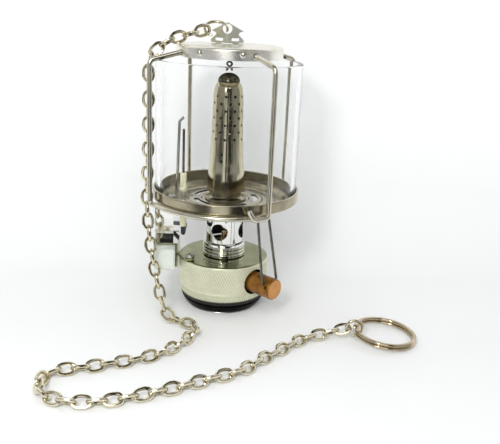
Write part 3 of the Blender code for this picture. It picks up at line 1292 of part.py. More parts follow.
def key_ring():
    """A split ring: nearly two flat turns of strip, with the climb between them in one sector."""
    radius = KEY_RING_R - KEY_RING_WIDTH / 2
    seat = ring_link_centre() + Vector((KEY_RING_SEAT[0], 0, KEY_RING_SEAT[1]))
    half_height = (KEY_RING_THICKNESS + KEY_RING_PITCH) / 2
    drop = seat.z - half_height - FLOOR_LIFT
    tilt = math.asin(drop / (2 * radius))
    turn = Matrix.Translation(seat) @ Matrix.Rotation(tilt, 4, "Y")
    steps = 24
    count = int(KEY_RING_TURN_COUNT * steps)
    route = []
    climb_start = KEY_RING_TURN_COUNT - 1
    for step in range(count + 1):
        turns = step / steps
        share = min(max((turns - climb_start) / (1 - climb_start), 0.0), 1.0)
        level = (share * share * (3 - 2 * share) - 0.5) * KEY_RING_PITCH
        angle = math.pi * 0.55 + math.tau * turns
        route.append((Vector((radius * math.cos(angle) + radius, radius * math.sin(angle), level)),
                      Vector((math.cos(angle), math.sin(angle), 0))))
    bm = bmesh.new()
    rings = []
    for point, outward in route:
        ring = []
        for across, up in ((1, 1), (-1, 1), (-1, -1), (1, -1)):
            corner = (point + outward * across * KEY_RING_WIDTH / 2
                      + Vector((0, 0, up * KEY_RING_THICKNESS / 2)))
            ring.append(bm.verts.new(turn @ corner))
        rings.append(ring)
    for lower, upper in zip(rings, rings[1:]):
        for step in range(4):
            after = (step + 1) % 4
            bm.faces.new((lower[step], lower[after], upper[after], upper[step]))
    bm.faces.new(rings[0])
    bm.faces.new(rings[-1])
    made = solid("key_ring", bm, "nickel")
    least = min((a[0] - b[0]).length for i, a in enumerate(route) for b in route[i + steps // 2:])
    print(f"key ring: least gap between turns {(least - KEY_RING_THICKNESS) / MM:.2f} mm")
    return made


def empty(name, place):
    made = bpy.data.objects.new(name, None)
    made.matrix_world = place
    bpy.context.collection.objects.link(made)
    return made


def hold(parent, names):
    """Parent objects to an empty and leave them where they are."""
    bpy.context.view_layer.update()
    for name in names:
        child = bpy.data.objects[name]
        child.parent = parent
        child.matrix_parent_inverse = parent.matrix_world.inverted()


def main():
    clear_scene()
    base_pad()
    knurled_collar()
    valve_body()
    canister_seal()
    valve_pin()
    spindle_gland()
    needle_spindle()
    control_knob()
    knob_bail()
    mixer_flange()
    gas_jet()
    mixing_tube()
    burner_dish()
    burner_nut()
    burner_tube()
    burner_cap()
    mantle_hook()
    ceramic_insulator()
    electrode_rod()
    ground_electrode()
    igniter_bracket()
    screws()
    igniter_button()
    piezo_body()
    ignition_lead()
    glass_globe()
    top_cap(spring_wires())
    hanger_lug()
    lug_ring()
    hanging_chain()
    ring_link()
    key_ring()
    hold(empty("valve_axis", knob_frame()), ["needle_spindle", "control_knob"])
    hold(empty("cage_axis", Matrix.Translation(Vector((0, 0, CAP_FOOT_Z)))),
         ["top_cap", "hanger_lug", "left_wire", "front_wire", "right_wire", "back_wire",
          "lug_ring", "hanging_chain", "ring_link", "key_ring"])


main()
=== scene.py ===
# %% [markdown]
# A compact gas lantern.
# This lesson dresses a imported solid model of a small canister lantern: metal, glass, ceramic and
# a long chain. Every piece is built in code around the solid model's own boxes, so little has
# to be fitted by eye, and each finish is a small graph of procedural nodes.

# %% Load the frame
import json
import math

import bmesh
import bpy
from mathutils import Matrix, Vector


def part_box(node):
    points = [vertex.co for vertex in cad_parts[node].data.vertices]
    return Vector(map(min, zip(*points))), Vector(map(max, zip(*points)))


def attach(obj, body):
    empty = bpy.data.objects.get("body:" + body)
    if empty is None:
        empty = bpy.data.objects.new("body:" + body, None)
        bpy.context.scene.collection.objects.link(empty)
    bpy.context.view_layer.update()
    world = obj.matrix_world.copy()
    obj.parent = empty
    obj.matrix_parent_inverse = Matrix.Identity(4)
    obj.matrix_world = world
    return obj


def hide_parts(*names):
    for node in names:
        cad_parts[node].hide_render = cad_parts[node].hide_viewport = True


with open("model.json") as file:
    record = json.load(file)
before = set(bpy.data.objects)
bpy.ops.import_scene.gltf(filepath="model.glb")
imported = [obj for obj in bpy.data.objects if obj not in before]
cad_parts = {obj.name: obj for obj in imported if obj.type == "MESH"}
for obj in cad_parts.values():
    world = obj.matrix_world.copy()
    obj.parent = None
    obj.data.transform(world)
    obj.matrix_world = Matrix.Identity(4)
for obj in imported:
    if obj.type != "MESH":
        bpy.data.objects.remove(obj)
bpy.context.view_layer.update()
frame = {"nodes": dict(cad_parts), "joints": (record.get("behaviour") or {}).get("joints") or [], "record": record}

mm = 0.001

# %% [markdown]
# The camera comes first, because it fixes what shows. The lantern was photographed from about
# 28 cm away, a little from above, by a hand that held the camera slightly turned. Those few
# numbers make a rotation matrix by hand: a forward, a right and an up vector.

# %% Camera
PICTURE_WIDTH = 500
FOCAL_PIXELS = 682
CAMERA_PLACE = Vector((0, -277.5, 125)) * mm
YAW = math.radians(2.24)
PITCH = math.radians(17.8)
ROLL = math.radians(2.5)
NEAREST, FARTHEST = 1 * mm, 60


def add_object(name, data):
    made = bpy.data.objects.new(name, data)
    bpy.context.scene.collection.objects.link(made)
    return made


def camera_axes():
    forward = Vector((math.sin(YAW) * math.cos(PITCH), math.cos(YAW) * math.cos(PITCH),
                      -math.sin(PITCH)))
    level = Vector((math.cos(YAW), -math.sin(YAW), 0))
    up = level.cross(forward)
    right = level * math.cos(ROLL) + up * math.sin(ROLL)
    return right, up * math.cos(ROLL) - level * math.sin(ROLL), forward


def place_camera():
    camera = add_object("camera", bpy.data.cameras.new("camera"))
    camera.data.sensor_fit = "HORIZONTAL"
    camera.data.angle = 2 * math.atan(PICTURE_WIDTH / 2 / FOCAL_PIXELS)
    camera.data.clip_start, camera.data.clip_end = NEAREST, FARTHEST
    right, up, forward = camera_axes()
    turn = Matrix((right, up, -forward)).transposed().to_4x4()
    camera.matrix_world = Matrix.Translation(CAMERA_PLACE) @ turn
    bpy.context.scene.camera = camera
    print("camera angle:", round(math.degrees(camera.data.angle), 2), "degrees")


place_camera()

# %% [markdown]
# Every piece ends the same way: it gets a mesh, a finish, smooth shading with sharp creases, the
# body that it rides on and the solid node that it stands for. One helper does that once, so the
# later cells can be about shapes only.

# %% Register a piece
CREASE = math.radians(34)
pieces = []
BODY_OF = {node: body for body, nodes in frame["record"]["behaviour"]["bodies"].items()
           for node in nodes}


def smooth_object(name, bm, finish=None):
    """An object made from a bmesh, which is used up."""
    mesh = bpy.data.meshes.new(name)
    bm.to_mesh(mesh)
    bm.free()
    if finish:
        mesh.materials.append(finish)
    mesh.shade_smooth()
    return add_object(name, mesh)


def piece(name, bm, finish, node):
    """A smooth shaded piece with sharp creases that stands for one node of the solid model."""
    bmesh.ops.recalc_face_normals(bm, faces=bm.faces)
    made = smooth_object(name, bm, finish)
    made.data.set_sharp_from_angle(angle=CREASE)
    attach(made, BODY_OF[node])
    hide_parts(node)
    pieces.append(made)
    return made


def repaint(made, finish, chosen):
    """Give a second finish to the faces whose middle and normal meet a test."""
    made.data.materials.append(finish)
    for face in made.data.polygons:
        if chosen(face.center, face.normal):
            face.material_index = len(made.data.materials) - 1


print("finish, body and nodes are set in one place")

# %% [markdown]
# Metal looks like metal because of small faults. The finish below starts from two close tones
# that drift over the surface, brightens the worn edges, and draws fine ground lines that rule
# both the roughness and a slight bump. All of it is driven by object coordinates, so it stays
# put when the camera moves. The same graph serves nickel, chrome and steel: only the tones, the
# roughness and the direction of the grain differ. A small class adds and links the nodes, so
# that a finish reads as a few lines about the surface.

# %% Metal finish
EDGE_LOW, EDGE_HIGH = 0.50, 0.57
GRAIN_SIZE = 0.25 * mm
EVEN = (1, 1, 1)


class Graph:
    """The nodes of a material or a world, with a short method for each step that repeats."""

    def __init__(self, name, owners=bpy.data.materials, shader="Principled BSDF"):
        self.owner = owners.new(name)
        self.owner.use_nodes = True
        self.nodes, self.links = self.owner.node_tree.nodes, self.owner.node_tree.links
        self.shader = self.nodes[shader]

    def fill(self, socket, value):
        """Put an output, a colour or a number into a socket."""
        if isinstance(value, bpy.types.NodeSocket):
            self.links.new(value, socket)
        else:
            socket.default_value = (*value, 1) if isinstance(value, tuple) else value

    def feed(self, inputs):
        for name, value in inputs.items():
            self.fill(self.shader.inputs[name], value)

    def add(self, kind, output, inputs=None, **settings):
        """Add a node, fill its inputs and return one of its outputs."""
        node = self.nodes.new("ShaderNode" + kind)
        for name, value in settings.items():
            setattr(node, name, value)
        for name, value in (inputs or {}).items():
            self.fill(node.inputs[name], value)
        return node.outputs[output]

    def noise(self, size, stretch=EVEN, detail=4.0):
        """A noise whose spots are about as wide as the given size, stretched along the axes."""
        place = self.add("Mapping", "Vector", {"Vector": self.add("TexCoord", "Object"),
                                               "Scale": Vector(stretch)})
        return self.add("TexNoise", "Fac", {"Vector": place, "Scale": 1 / size,
                                            "Detail": detail})

    def ramp(self, value, first, last, *between):
        """Blend colours; each stop is a pair of a position and a colour."""
        node = self.nodes.new("ShaderNodeValToRGB")
        stops = node.color_ramp.elements
        for stop, (position, colour) in zip(stops, (first, last)):
            stop.position, stop.color = position, (*colour, 1)
        for position, colour in between:
            stops.new(position).color = (*colour, 1)
        self.links.new(value, node.inputs["Fac"])
        return node.outputs["Color"]

    def remap(self, value, first, last, low=0.3, high=0.7):
        """A noise seldom leaves 0.3 to 0.7, so that range is spread over first to last."""
        return self.add("MapRange", "Result", {"Value": value, "From Min": low, "From Max": high,
                                               "To Min": first, "To Max": last})

    def mix(self, share, first, last, blend="MIX"):
        return self.add("Mix", "Result", {"Factor": share, "A": first, "B": last},
                        data_type="RGBA", blend_type=blend)

    def worn_edges(self):
        """One where the surface is convex, nought elsewhere."""
        return self.remap(self.add("NewGeometry", "Pointiness"), 0, 1, EDGE_LOW, EDGE_HIGH)

    def height_share(self, low, high):
        """Nought at the low height and one at the high one."""
        place = self.add("TexCoord", "Object")
        return self.remap(self.add("SeparateXYZ", "Z", {"Vector": place}), 0, 1, low, high)

    def bump(self, height, strength, depth=0.03 * mm):
        self.feed({"Normal": self.add("Bump", "Normal", {
            "Strength": strength, "Distance": depth, "Height": height})})

    def show_mix(self, share, first, second):
        """Show a mix of two shaders in place of the plain one."""
        both = self.add("MixShader", "Shader", {"Fac": share, 1: first, 2: second})
        self.links.new(both, self.nodes["Material Output"].inputs["Surface"])


def metal(name, light, dark, roughness, edge=None, grain=EVEN, bump=0.12, patch=5 * mm,
          metallic=1.0):
    made = Graph(name)
    colour = made.ramp(made.noise(patch), (0.35, dark), (0.68, light))
    if edge:
        colour = made.mix(made.worn_edges(), colour, edge)
    lines = made.noise(GRAIN_SIZE, grain, 6.0)
    made.feed({"Metallic": metallic, "Base Color": colour,
               "Roughness": made.remap(lines, roughness * 0.75, roughness * 1.3)})
    made.bump(lines, bump)
    return made.owner


nickel = metal("champagne_nickel", (0.66, 0.60, 0.39), (0.42, 0.37, 0.21), 0.14,
               edge=(0.78, 0.72, 0.56), bump=0.2)
ring_steel = metal("bronzed_ring_wire", (0.66, 0.57, 0.42), (0.46, 0.38, 0.25), 0.09,
                   grain=(0.2, 0.2, 1), bump=0.05)
wire_steel = metal("drawn_spring_wire", (0.72, 0.67, 0.54), (0.46, 0.42, 0.31), 0.20,
                   edge=(0.72, 0.69, 0.58), grain=(1, 1, 0.06))
chrome = metal("polished_chrome", (0.84, 0.84, 0.81), (0.72, 0.72, 0.69), 0.05, bump=0.03)
plain_steel = metal("turned_steel", (0.55, 0.54, 0.50), (0.38, 0.37, 0.34), 0.24)
cap_steel = metal("satin_sheet", (0.86, 0.83, 0.74), (0.70, 0.66, 0.56), 0.26,
                  edge=(0.9, 0.88, 0.82), grain=(1, 0.1, 1), metallic=0.9)
lug_steel = metal("plated_lug_sheet", (0.64, 0.64, 0.51), (0.50, 0.50, 0.39), 0.30,
                  edge=(0.8, 0.8, 0.7), metallic=0.85)
brass = metal("machined_brass", (0.72, 0.52, 0.22), (0.55, 0.37, 0.13), 0.24,
              edge=(0.85, 0.68, 0.38), grain=(1, 1, 0.08))
print("metals:", len(bpy.data.materials))

# %% [markdown]
# Three finishes need a graph of their own. The burner and its dome have been hot, so their tone
# drifts to straw and brown with height. The collar is anodised aluminium, satin and slightly
# green. The knob is lacquered brass: an amber coat with fine turned lines.

# %% Heated, anodised and lacquered metal
HEAT_DRIFT = 0.35


def heated_metal(name, cool, straw, brown, low, high, roughness, tint=(1, 1, 1)):
    """Bare sheet that is cool at its foot, straw coloured above and brown near its top."""
    made = Graph(name)
    heat = made.add("Math", "Value", {0: made.noise(6 * mm), 1: HEAT_DRIFT,
                                      2: made.height_share(low, high)},
                    operation="MULTIPLY_ADD")
    lines = made.noise(0.2 * mm, (1, 1, 0.1), 5.0)
    made.feed({"Metallic": 1.0, "Specular Tint": tint,
               "Base Color": made.ramp(heat, (0.15, cool), (1.2 / 1.35, brown), (0.62, straw)),
               "Roughness": made.remap(lines, roughness * 0.7, roughness * 1.3)})
    made.bump(lines, 0.1, 0.02 * mm)
    return made.owner


def anodised(name, light, dark, roughness):
    made = Graph(name)
    patches = made.noise(7 * mm)
    speck = made.noise(0.35 * mm, detail=2.0)
    worn = made.ramp(speck, (0.42, (0.86, 0.87, 0.84)), (0.62, (1, 1, 1)))
    tone = made.ramp(patches, (0.35, dark), (0.7, light))
    made.feed({"Metallic": 0.35, "Base Color": made.mix(1.0, tone, worn, "MULTIPLY"),
               "Roughness": made.remap(patches, roughness * 0.85, roughness * 1.15)})
    made.bump(speck, 0.15)
    return made.owner


def amber_lacquer(name, light, dark):
    made = Graph(name)
    lines = made.noise(0.22 * mm, (1, 1, 0.15), 5.0)
    made.feed({"Metallic": 0.75, "Coat Weight": 0.3, "Coat Roughness": 0.12,
               "Base Color": made.ramp(made.noise(3 * mm), (0.3, dark), (0.72, light)),
               "Roughness": made.remap(lines, 0.30, 0.5)})
    made.bump(lines, 0.35, 0.05 * mm)
    return made.owner


dish_low, dish_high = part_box("burner_dish")
burner_low, burner_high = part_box("burner_tube")
# A lighter copy of the dish metal for its upward faces: painted reflection.
dish_top_painted_light = metal("dish_upper_faces_painted_light", (0.66, 0.62, 0.52), (0.54, 0.50, 0.41), 0.20,
                         patch=12 * mm, bump=0.02)
dish_steel = metal("dish_sheet", (0.46, 0.41, 0.29), (0.28, 0.25, 0.17), 0.19,
                   edge=(0.62, 0.58, 0.46), grain=(0.2, 0.2, 1), patch=9 * mm, bump=0.03)
burner_steel = heated_metal("heated_burner_sheet", (0.64, 0.60, 0.45), (0.56, 0.51, 0.36),
                            (0.46, 0.42, 0.29), burner_low.z, burner_high.z, 0.11)
blued = heated_metal("heat_darkened_cap", (0.17, 0.16, 0.11), (0.11, 0.10, 0.07),
                     (0.06, 0.06, 0.045), burner_high.z, burner_high.z + 6 * mm, 0.2,
                     tint=(0.2, 0.19, 0.15))
dark_wire = metal("dark_drawn_wire", (0.30, 0.28, 0.24), (0.12, 0.11, 0.10), 0.16,
                  grain=(1, 1, 0.06))
collar_finish = anodised("satin_anodised_collar", (0.84, 0.84, 0.66), (0.76, 0.76, 0.58), 0.36)
# A darker copy of the collar finish for the knurl's grooves: painted shade in the grooves.
knurl_groove_painted_shade = anodised("knurl_grooves_painted_shade", (0.60, 0.60, 0.42), (0.52, 0.52, 0.36), 0.40)
# The collar's polished top face, its tone darkened to paint the shade that it mirrors: painted shade.
collar_top_painted_shade = metal("polished_face_painted_shade", (0.42, 0.43, 0.26), (0.32, 0.33, 0.18), 0.13,
                          bump=0.02)
amber = amber_lacquer("amber_lacquered_brass", (0.44, 0.19, 0.022), (0.18, 0.065, 0.009))
# A lighter copy of the amber lacquer for the knob's end face: painted light.
amber_end_painted_light = amber_lacquer("amber_end_face_painted_light", (0.72, 0.36, 0.12), (0.60, 0.27, 0.07))
print("heated from", round(burner_low.z / mm, 1), "to", round(burner_high.z / mm, 1), "mm")

# %% [markdown]
# What isn't metal: clear glass, glazed ceramic, moulded plastic and rubber. Glass is a refracting
# shader with a hint of unevenness in its bump, because a perfect tube looks drawn. Its index is
# lower than real glass has, so that its front wall hardly mirrors the room and the burner behind
# it stays clear. The others share one graph for a coated solid: two tones, a speckled roughness,
# a light bump.

# %% Glass, ceramic, plastic and rubber
GLASS_IOR = 1.16


def coated_solid(name, light, dark, roughness, bump=0.1, coat=0.0, specular=0.5):
    made = Graph(name)
    fine = made.noise(0.3 * mm, detail=3.0)
    made.feed({"Base Color": made.ramp(made.noise(4 * mm), (0.35, dark), (0.7, light)),
               "Roughness": made.remap(fine, roughness * 0.8, roughness * 1.25),
               "Coat Weight": coat, "Specular IOR Level": specular})
    made.bump(fine, bump)
    return made.owner


def clear_glass():
    made = Graph("clear_globe_glass")
    cloud = made.noise(12 * mm, (1, 1, 0.3), 1.0)
    made.feed({"Transmission Weight": 1.0, "IOR": GLASS_IOR,
               "Base Color": made.ramp(cloud, (0.3, (0.985, 0.992, 0.992)), (0.7, (1, 1, 1))),
               "Roughness": made.remap(cloud, 0.0, 0.015)})
    made.bump(cloud, 0.05)
    return made.owner


glass = clear_glass()
ceramic = coated_solid("glazed_ceramic", (0.96, 0.93, 0.68), (0.84, 0.80, 0.54), 0.25, 0.08,
                       coat=0.4)
white_plastic = coated_solid("white_moulded_plastic", (0.80, 0.84, 0.77), (0.73, 0.77, 0.70), 0.3)
black_plastic = coated_solid("black_moulded_plastic", (0.03, 0.03, 0.03), (0.015, 0.015, 0.015),
                             0.35)
rubber = coated_solid("black_rubber", (0.004, 0.004, 0.004), (0.002, 0.002, 0.002), 0.2,
                      specular=0.05)
# Near black for insides, hollows and hole walls: painted shade.
dark_inside_painted_shade = coated_solid("inside_painted_shade", (0.020, 0.016, 0.012), (0.008, 0.007, 0.006), 0.6)
print("finishes:", len(bpy.data.materials))

# %% [markdown]
# Most of a lantern is turned on a lathe. A profile of (radius, height) pairs, spun round the
# axis, is the most direct form for that: it is how the real piece's drawing looks. The helper
# also takes a frame, so the side knob can use it, and a lift function that moves points in or
# out for knurling and seams.

# %% Turned pieces
ROUND_STEPS = 128
EASE_STEPS = 3
EASE_SHARE = 0.33
EASE_FLANK = 0.3


def evenly(start, end, steps):
    """Evenly spaced numbers from start to end, both ends included."""
    return [start + (end - start) * step / steps for step in range(steps + 1)]


def skin(bm, rings, closed=False):
    """Faces between each ring of points and the next; a run that isn't closed gets two ends."""
    for lower, upper in zip(rings, rings[1:] + rings[:1] if closed else rings[1:]):
        for step in range(max(len(lower), len(upper))):
            corners = [ring[turn % len(ring)] for ring, turn in (
                (lower, step), (lower, step + 1), (upper, step + 1), (upper, step))]
            corners = list(dict.fromkeys(corners))
            if len(corners) > 2:
                bm.faces.new(corners)
    if not closed:
        bm.faces.new(rings[0])
        bm.faces.new(rings[-1])


def turn_profile(bm, profile, steps=ROUND_STEPS, place=Matrix.Identity(4), lift=None):
    """Spin a closed profile round the place's Z axis; a corner on the axis is one point."""
    rings = []
    for radius, height in profile:
        ring = []
        for step in range(steps if radius else 1):
            angle = math.tau * step / steps
            reach = radius + (lift(radius, height, angle) if lift else 0)
            ring.append(bm.verts.new(place @ Vector(
                (reach * math.cos(angle), reach * math.sin(angle), height))))
        rings.append(ring)
    skin(bm, rings, closed=True)


def eased(profile, radius):
    """Round every corner of a closed profile by a small radius, as tools and tumbling do."""
    points = []
    for index, corner in enumerate(profile):
        here = Vector(corner)
        before = Vector(profile[index - 1]) - here
        after = Vector(profile[(index + 1) % len(profile)]) - here
        if here.x == 0 or before.length == 0 or after.length == 0:
            points.append(corner)
            continue
        reach = min(radius, before.length * EASE_SHARE, after.length * EASE_SHARE)
        back, on = before.normalized() * reach, after.normalized() * reach
        start, end = here + back, here + on
        curve = [start * (1 - t) ** 2 + here * 2 * t * (1 - t) + end * t ** 2
                 for t in evenly(0, 1, EASE_STEPS)]
        points += [(max(point.x, 0), point.y)
                   for point in [start + back * EASE_FLANK, *curve, end + on * EASE_FLANK]]
    return points


def profile_arc(centre, radius, start, end, steps):
    return [(centre[0] + radius * math.cos(angle), centre[1] + radius * math.sin(angle))
            for angle in evenly(start, end, steps)]


def above(base, *points):
    """Profile points from pairs in millimetres: a radius, and a height above the base."""
    return [(radius * mm, base + height * mm) for radius, height in points]


def turned(name, profile, finish, node, ease=0.15 * mm, steps=ROUND_STEPS,
           place=Matrix.Identity(4), lift=None):
    bm = bmesh.new()
    turn_profile(bm, eased(profile, ease) if ease else profile, steps, place, lift)
    return piece(name, bm, finish, node)


print("a turned piece has", ROUND_STEPS, "steps round")

# %% [markdown]
# Bent wire is a round section carried along a route. The route's corners are replaced by arcs,
# as the bending tool leaves them, and the section is carried without twist. A curve object with
# a bevel would do the same; a mesh is used here because the wires also cut their own slots in
# the cap, and a mesh can be both the wire and the cutter.

# %% Wire and tube
END_TILTS = [math.radians(angle) for angle in (12, 40, 66)]
END_LENGTH = 0.5
STEEP = 0.9


def rounded(points, radius, steps):
    """Replace each inner corner of a polyline by an arc."""
    route = [points[0]]
    for before, corner, after in zip(points, points[1:], points[2:]):
        back = (before - corner).normalized()
        on = (after - corner).normalized()
        half = back.angle(on) / 2
        reach = min(radius / math.tan(half), (before - corner).length / 2,
                    (after - corner).length / 2)
        bend = reach * math.tan(half)
        centre = corner + (back + on).normalized() * (bend / math.sin(half))
        first = corner + back * reach - centre
        last = corner + on * reach - centre
        axis = first.cross(last).normalized()
        turn = first.angle(last)
        for step in range(steps + 1):
            route.append(centre + Matrix.Rotation(turn * step / steps, 3, axis) @ first)
    route.append(points[-1])
    return route


def smooth_route(points, steps):
    """A Catmull-Rom curve through the points."""
    ends = [points[0] * 2 - points[1]] + list(points) + [points[-1] * 2 - points[-2]]
    route = []
    for p0, p1, p2, p3 in zip(ends, ends[1:], ends[2:], ends[3:]):
        for step in range(steps):
            t = step / steps
            route.append(0.5 * (2 * p1 + (p2 - p0) * t + (2 * p0 - 5 * p1 + 4 * p2 - p3) * t ** 2
                                + (3 * p1 - p0 - 3 * p2 + p3) * t ** 3))
    route.append(points[-1].copy())
    return route


def blunt_ends(points, sizes):
    """Add a few shrinking stations near both ends, inside the route's own length."""
    def end(tip, inner, size):
        onward = (inner - tip).normalized() * size * END_LENGTH
        return ([tip + onward * (1 - math.cos(tilt)) for tilt in END_TILTS] + [tip + onward],
                [size * math.sin(tilt) for tilt in END_TILTS] + [size])

    head, head_sizes = end(points[0], points[1], sizes[0])
    tail, tail_sizes = end(points[-1], points[-2], sizes[-1])
    inner = [(point, size) for point, size in zip(points[1:-1], sizes[1:-1])
             if min((point - points[0]).length, (point - points[-1]).length) > 0.75 * size]
    return (head + [point for point, _ in inner] + tail[::-1],
            head_sizes + [size for _, size in inner] + tail_sizes[::-1])


def sweep(bm, route, radius, sides=14, closed=False, taper=None, ends_round=True):
    """Carry a round section along a route, mitred at each point; taper gives a factor for each
    share of the way."""
    points = list(route)
    sizes = [radius * (taper(index / (len(points) - 1)) if taper else 1)
             for index in range(len(points))]
    if ends_round and not closed:
        points, sizes = blunt_ends(points, sizes)
    count = len(points)
    spans = count if closed else count - 1
    runs = [(points[(index + 1) % count] - points[index]).normalized() for index in range(spans)]
    before = runs[-1] if closed else runs[0]
    helper = Vector((0, 0, 1)) if abs(before.z) < STEEP else Vector((1, 0, 0))
    side = before.cross(helper).normalized()
    rings = []
    for index, (point, size) in enumerate(zip(points, sizes)):
        after = runs[min(index, spans - 1)]
        mitre = (before + after).normalized()
        other = before.cross(side)
        ring = []
        for step in range(sides):
            angle = math.tau * step / sides
            offset = size * (math.cos(angle) * side + math.sin(angle) * other)
            offset -= before * (offset.dot(mitre) / before.dot(mitre))
            ring.append(bm.verts.new(point + offset))
        rings.append(ring)
        side = before.rotation_difference(after) @ side
        before = after
    skin(bm, rings, closed)


def wire(name, route, radius, finish, node, **more):
    bm = bmesh.new()
    sweep(bm, route, radius, **more)
    return piece(name, bm, finish, node)


print("wires are swept as round sections, mitred at every bend")

# %% [markdown]
# The chain. Its links are ovals of round wire, each turned a quarter turn to the next, and on
# the table every link leans 45 degrees, because that is how a cable chain lies. The route's
# points are listed from where the chain lies. The pitch, walked along that route, gives
# the links' places, and the wire of neighbouring links just touches.

# %% Chain
CHAIN_ROUTE = [Vector(point) * mm for point in (
    (-8.8, -2.3, 114.7), (-12.6, -3.9, 113.6), (-16.6, -5.4, 112.4), (-20.4, -6.8, 111.5),
    (-24.2, -8.0, 109.6), (-27.8, -8.9, 106.9), (-30.8, -9.5, 102.9), (-31.0, -9.6, 97.0),
    (-31.1, -9.7, 88.0), (-31.2, -9.8, 72.0), (-31.6, -9.9, 58.0), (-31.9, -10.0, 47.5),
    (-31.3, -12.2, 40.6), (-30.4, -14.4, 33.4), (-29.3, -16.3, 26.4), (-27.9, -17.8, 19.4),
    (-26.2, -19.6, 12.9), (-24.6, -21.9, 7.6), (-22.9, -24.4, 3.9), (-20.4, -26.1, 2.3),
    (-17.0, -28.0, 2.1), (-12.6, -29.8, 2.1), (-9.7, -33.8, 2.1), (-11.7, -40.4, 2.1),
    (-16.2, -48.4, 2.1), (-21.7, -54.5, 2.1), (-30.2, -59.7, 2.1), (-39.2, -63.0, 2.1),
    (-47.3, -66.0, 2.1), (-54.9, -67.8, 2.1), (-59.4, -71.9, 2.1), (-59.6, -78.8, 2.1),
    (-55.0, -85.0, 2.1), (-47.4, -87.4, 2.1), (-38.7, -86.9, 2.1), (-30.8, -84.8, 2.1),
    (-22.2, -81.2, 2.1), (-14.0, -77.5, 2.1), (-6.0, -73.2, 2.1), (2.0, -68.9, 2.1),
    (8.8, -64.7, 2.1), (14.9, -57.4, 2.1), (21.0, -51.4, 2.1), (27.2, -44.7, 2.1),
    (33.8, -39.2, 2.1), (39.9, -36.3, 2.3), (45.0, -35.1, 3.1), (50.3, -34.6, 4.3))]
LINK_LENGTH = 7.4 * mm
LINK_WIDTH = 5.15 * mm
LINK_WIRE_R = 0.65 * mm
LINK_BITE = 0.12 * mm
LINK_TURN_STEPS = 9
LINK_SQUARENESS = 0.87


def walk_route(route, pitch):
    """Points one pitch apart along a route."""
    joints = [route[0]]
    index = 0
    while index + 1 < len(route):
        last = joints[-1]
        low, high = route[index], route[index + 1]
        if (high - last).length < pitch:
            index += 1
            continue
        inside, outside = 0.0, 1.0
        for _ in range(20):
            middle = (inside + outside) / 2
            if (low.lerp(high, middle) - last).length < pitch:
                inside = middle
            else:
                outside = middle
        joints.append(low.lerp(high, outside))
    return joints


def chain_joints():
    """The pitch stretches a little, so the last joint is at the route's end."""
    route = smooth_route(CHAIN_ROUTE, 12)
    low = LINK_LENGTH - 4 * LINK_WIRE_R + LINK_BITE
    count = len(walk_route(route, low))
    high = low * (1 + 2 / count)
    for _ in range(16):
        middle = (low + high) / 2
        if len(walk_route(route, middle)) < count:
            high = middle
        else:
            low = middle
    return walk_route(route, low)


def link_frames(joints):
    """Each link's middle and axes, carried without twist from the end that lies on the table."""
    frames = []
    side = (joints[-1] - joints[-2]).normalized().cross(Vector((0, 0, 1))).normalized()
    for start, end in zip(joints[-2::-1], joints[:0:-1]):
        along = (end - start).normalized()
        side = (side - along * side.dot(along)).normalized()
        frames.append(((start + end) / 2, along, side.copy(), along.cross(side)))
    return frames[::-1]


def add_link(bm, centre, along, across):
    """An oval of round wire, a little flattened at its sides as worn links are."""
    end_r = LINK_WIDTH / 2 - LINK_WIRE_R
    straight = LINK_LENGTH / 2 - LINK_WIDTH / 2
    route = []
    for sign in (1, -1):
        for step in range(LINK_TURN_STEPS):
            angle = math.radians(-90 + 180 * step / LINK_TURN_STEPS)
            reach = (straight + end_r) * math.cos(angle) ** LINK_SQUARENESS
            rise = math.copysign(abs(math.sin(angle)) ** LINK_SQUARENESS, angle) * end_r
            route.append(centre + sign * (along * reach + across * rise))
    sweep(bm, route, LINK_WIRE_R, 10, closed=True)


joints = chain_joints()
bm = bmesh.new()
for index, (centre, along, side, up) in enumerate(link_frames(joints)):
    lean = -1 if index % 2 else 1
    add_link(bm, centre, along, (side + lean * up).normalized())
chain = piece("chain_links", bm, nickel, "hanging_chain")

# %% [markdown]
# Three rings go with the chain: the ring through the lug, with its two cut ends apart, the open
# round link at the other end, and the split key ring. The key ring is nearly two turns of spring
# wire, a little flattened. Its turns are level and change height in one short climb, which is
# what the jog in a real split ring does.

# %% Rings
LUG_SHIFT = -1.2 * mm
LUG_FRONT_Y = -2.8 * mm
LUG_SHEET = 0.8 * mm
LUG_RING_R = 4.5 * mm
LUG_RING_WIRE_R = 0.6 * mm
LUG_RING_TILT = math.radians(34)
LUG_RING_MOUTH = (math.radians(-25), math.radians(255))
RING_LINK_R = 3.2 * mm
RING_LINK_WIRE_R = 0.6 * mm
RING_LINK_MOUTH = (math.radians(-112), math.radians(222))
RING_LINK_PLACE = Vector((52.6, -34.6, 4.25)) * mm
PINCHED = 0.55
PINCH_SHARE = 1 / 14


def ring_points(centre, radius, across, mouth, steps):
    """An open ring in the plane of the X axis and another direction."""
    return [centre + radius * (math.cos(angle) * Vector((1, 0, 0)) + math.sin(angle) * across)
            for angle in evenly(*mouth, steps)]


def cut_ends(share):
    """Wire that was snipped: its ends are pinched to a blunt wedge."""
    return PINCHED + (1 - PINCHED) * min(1, min(share, 1 - share) / PINCH_SHARE)


lug_ring_low, lug_ring_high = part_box("lug_ring")
lug_ring_centre = Vector((LUG_SHIFT - LUG_RING_R, LUG_FRONT_Y + LUG_SHEET,
                          (lug_ring_low.z + lug_ring_high.z) / 2))
tilted = Vector((0, math.cos(LUG_RING_TILT), math.sin(LUG_RING_TILT)))
lug_ring = wire("lug_ring_wire",
                ring_points(lug_ring_centre, LUG_RING_R, tilted, LUG_RING_MOUTH, 60),
                LUG_RING_WIRE_R, nickel, "lug_ring", taper=cut_ends)
ring_link = wire("end_ring_link",
                 ring_points(RING_LINK_PLACE, RING_LINK_R, Vector((0, 0, 1)), RING_LINK_MOUTH, 48),
                 RING_LINK_WIRE_R, nickel, "ring_link", taper=cut_ends)

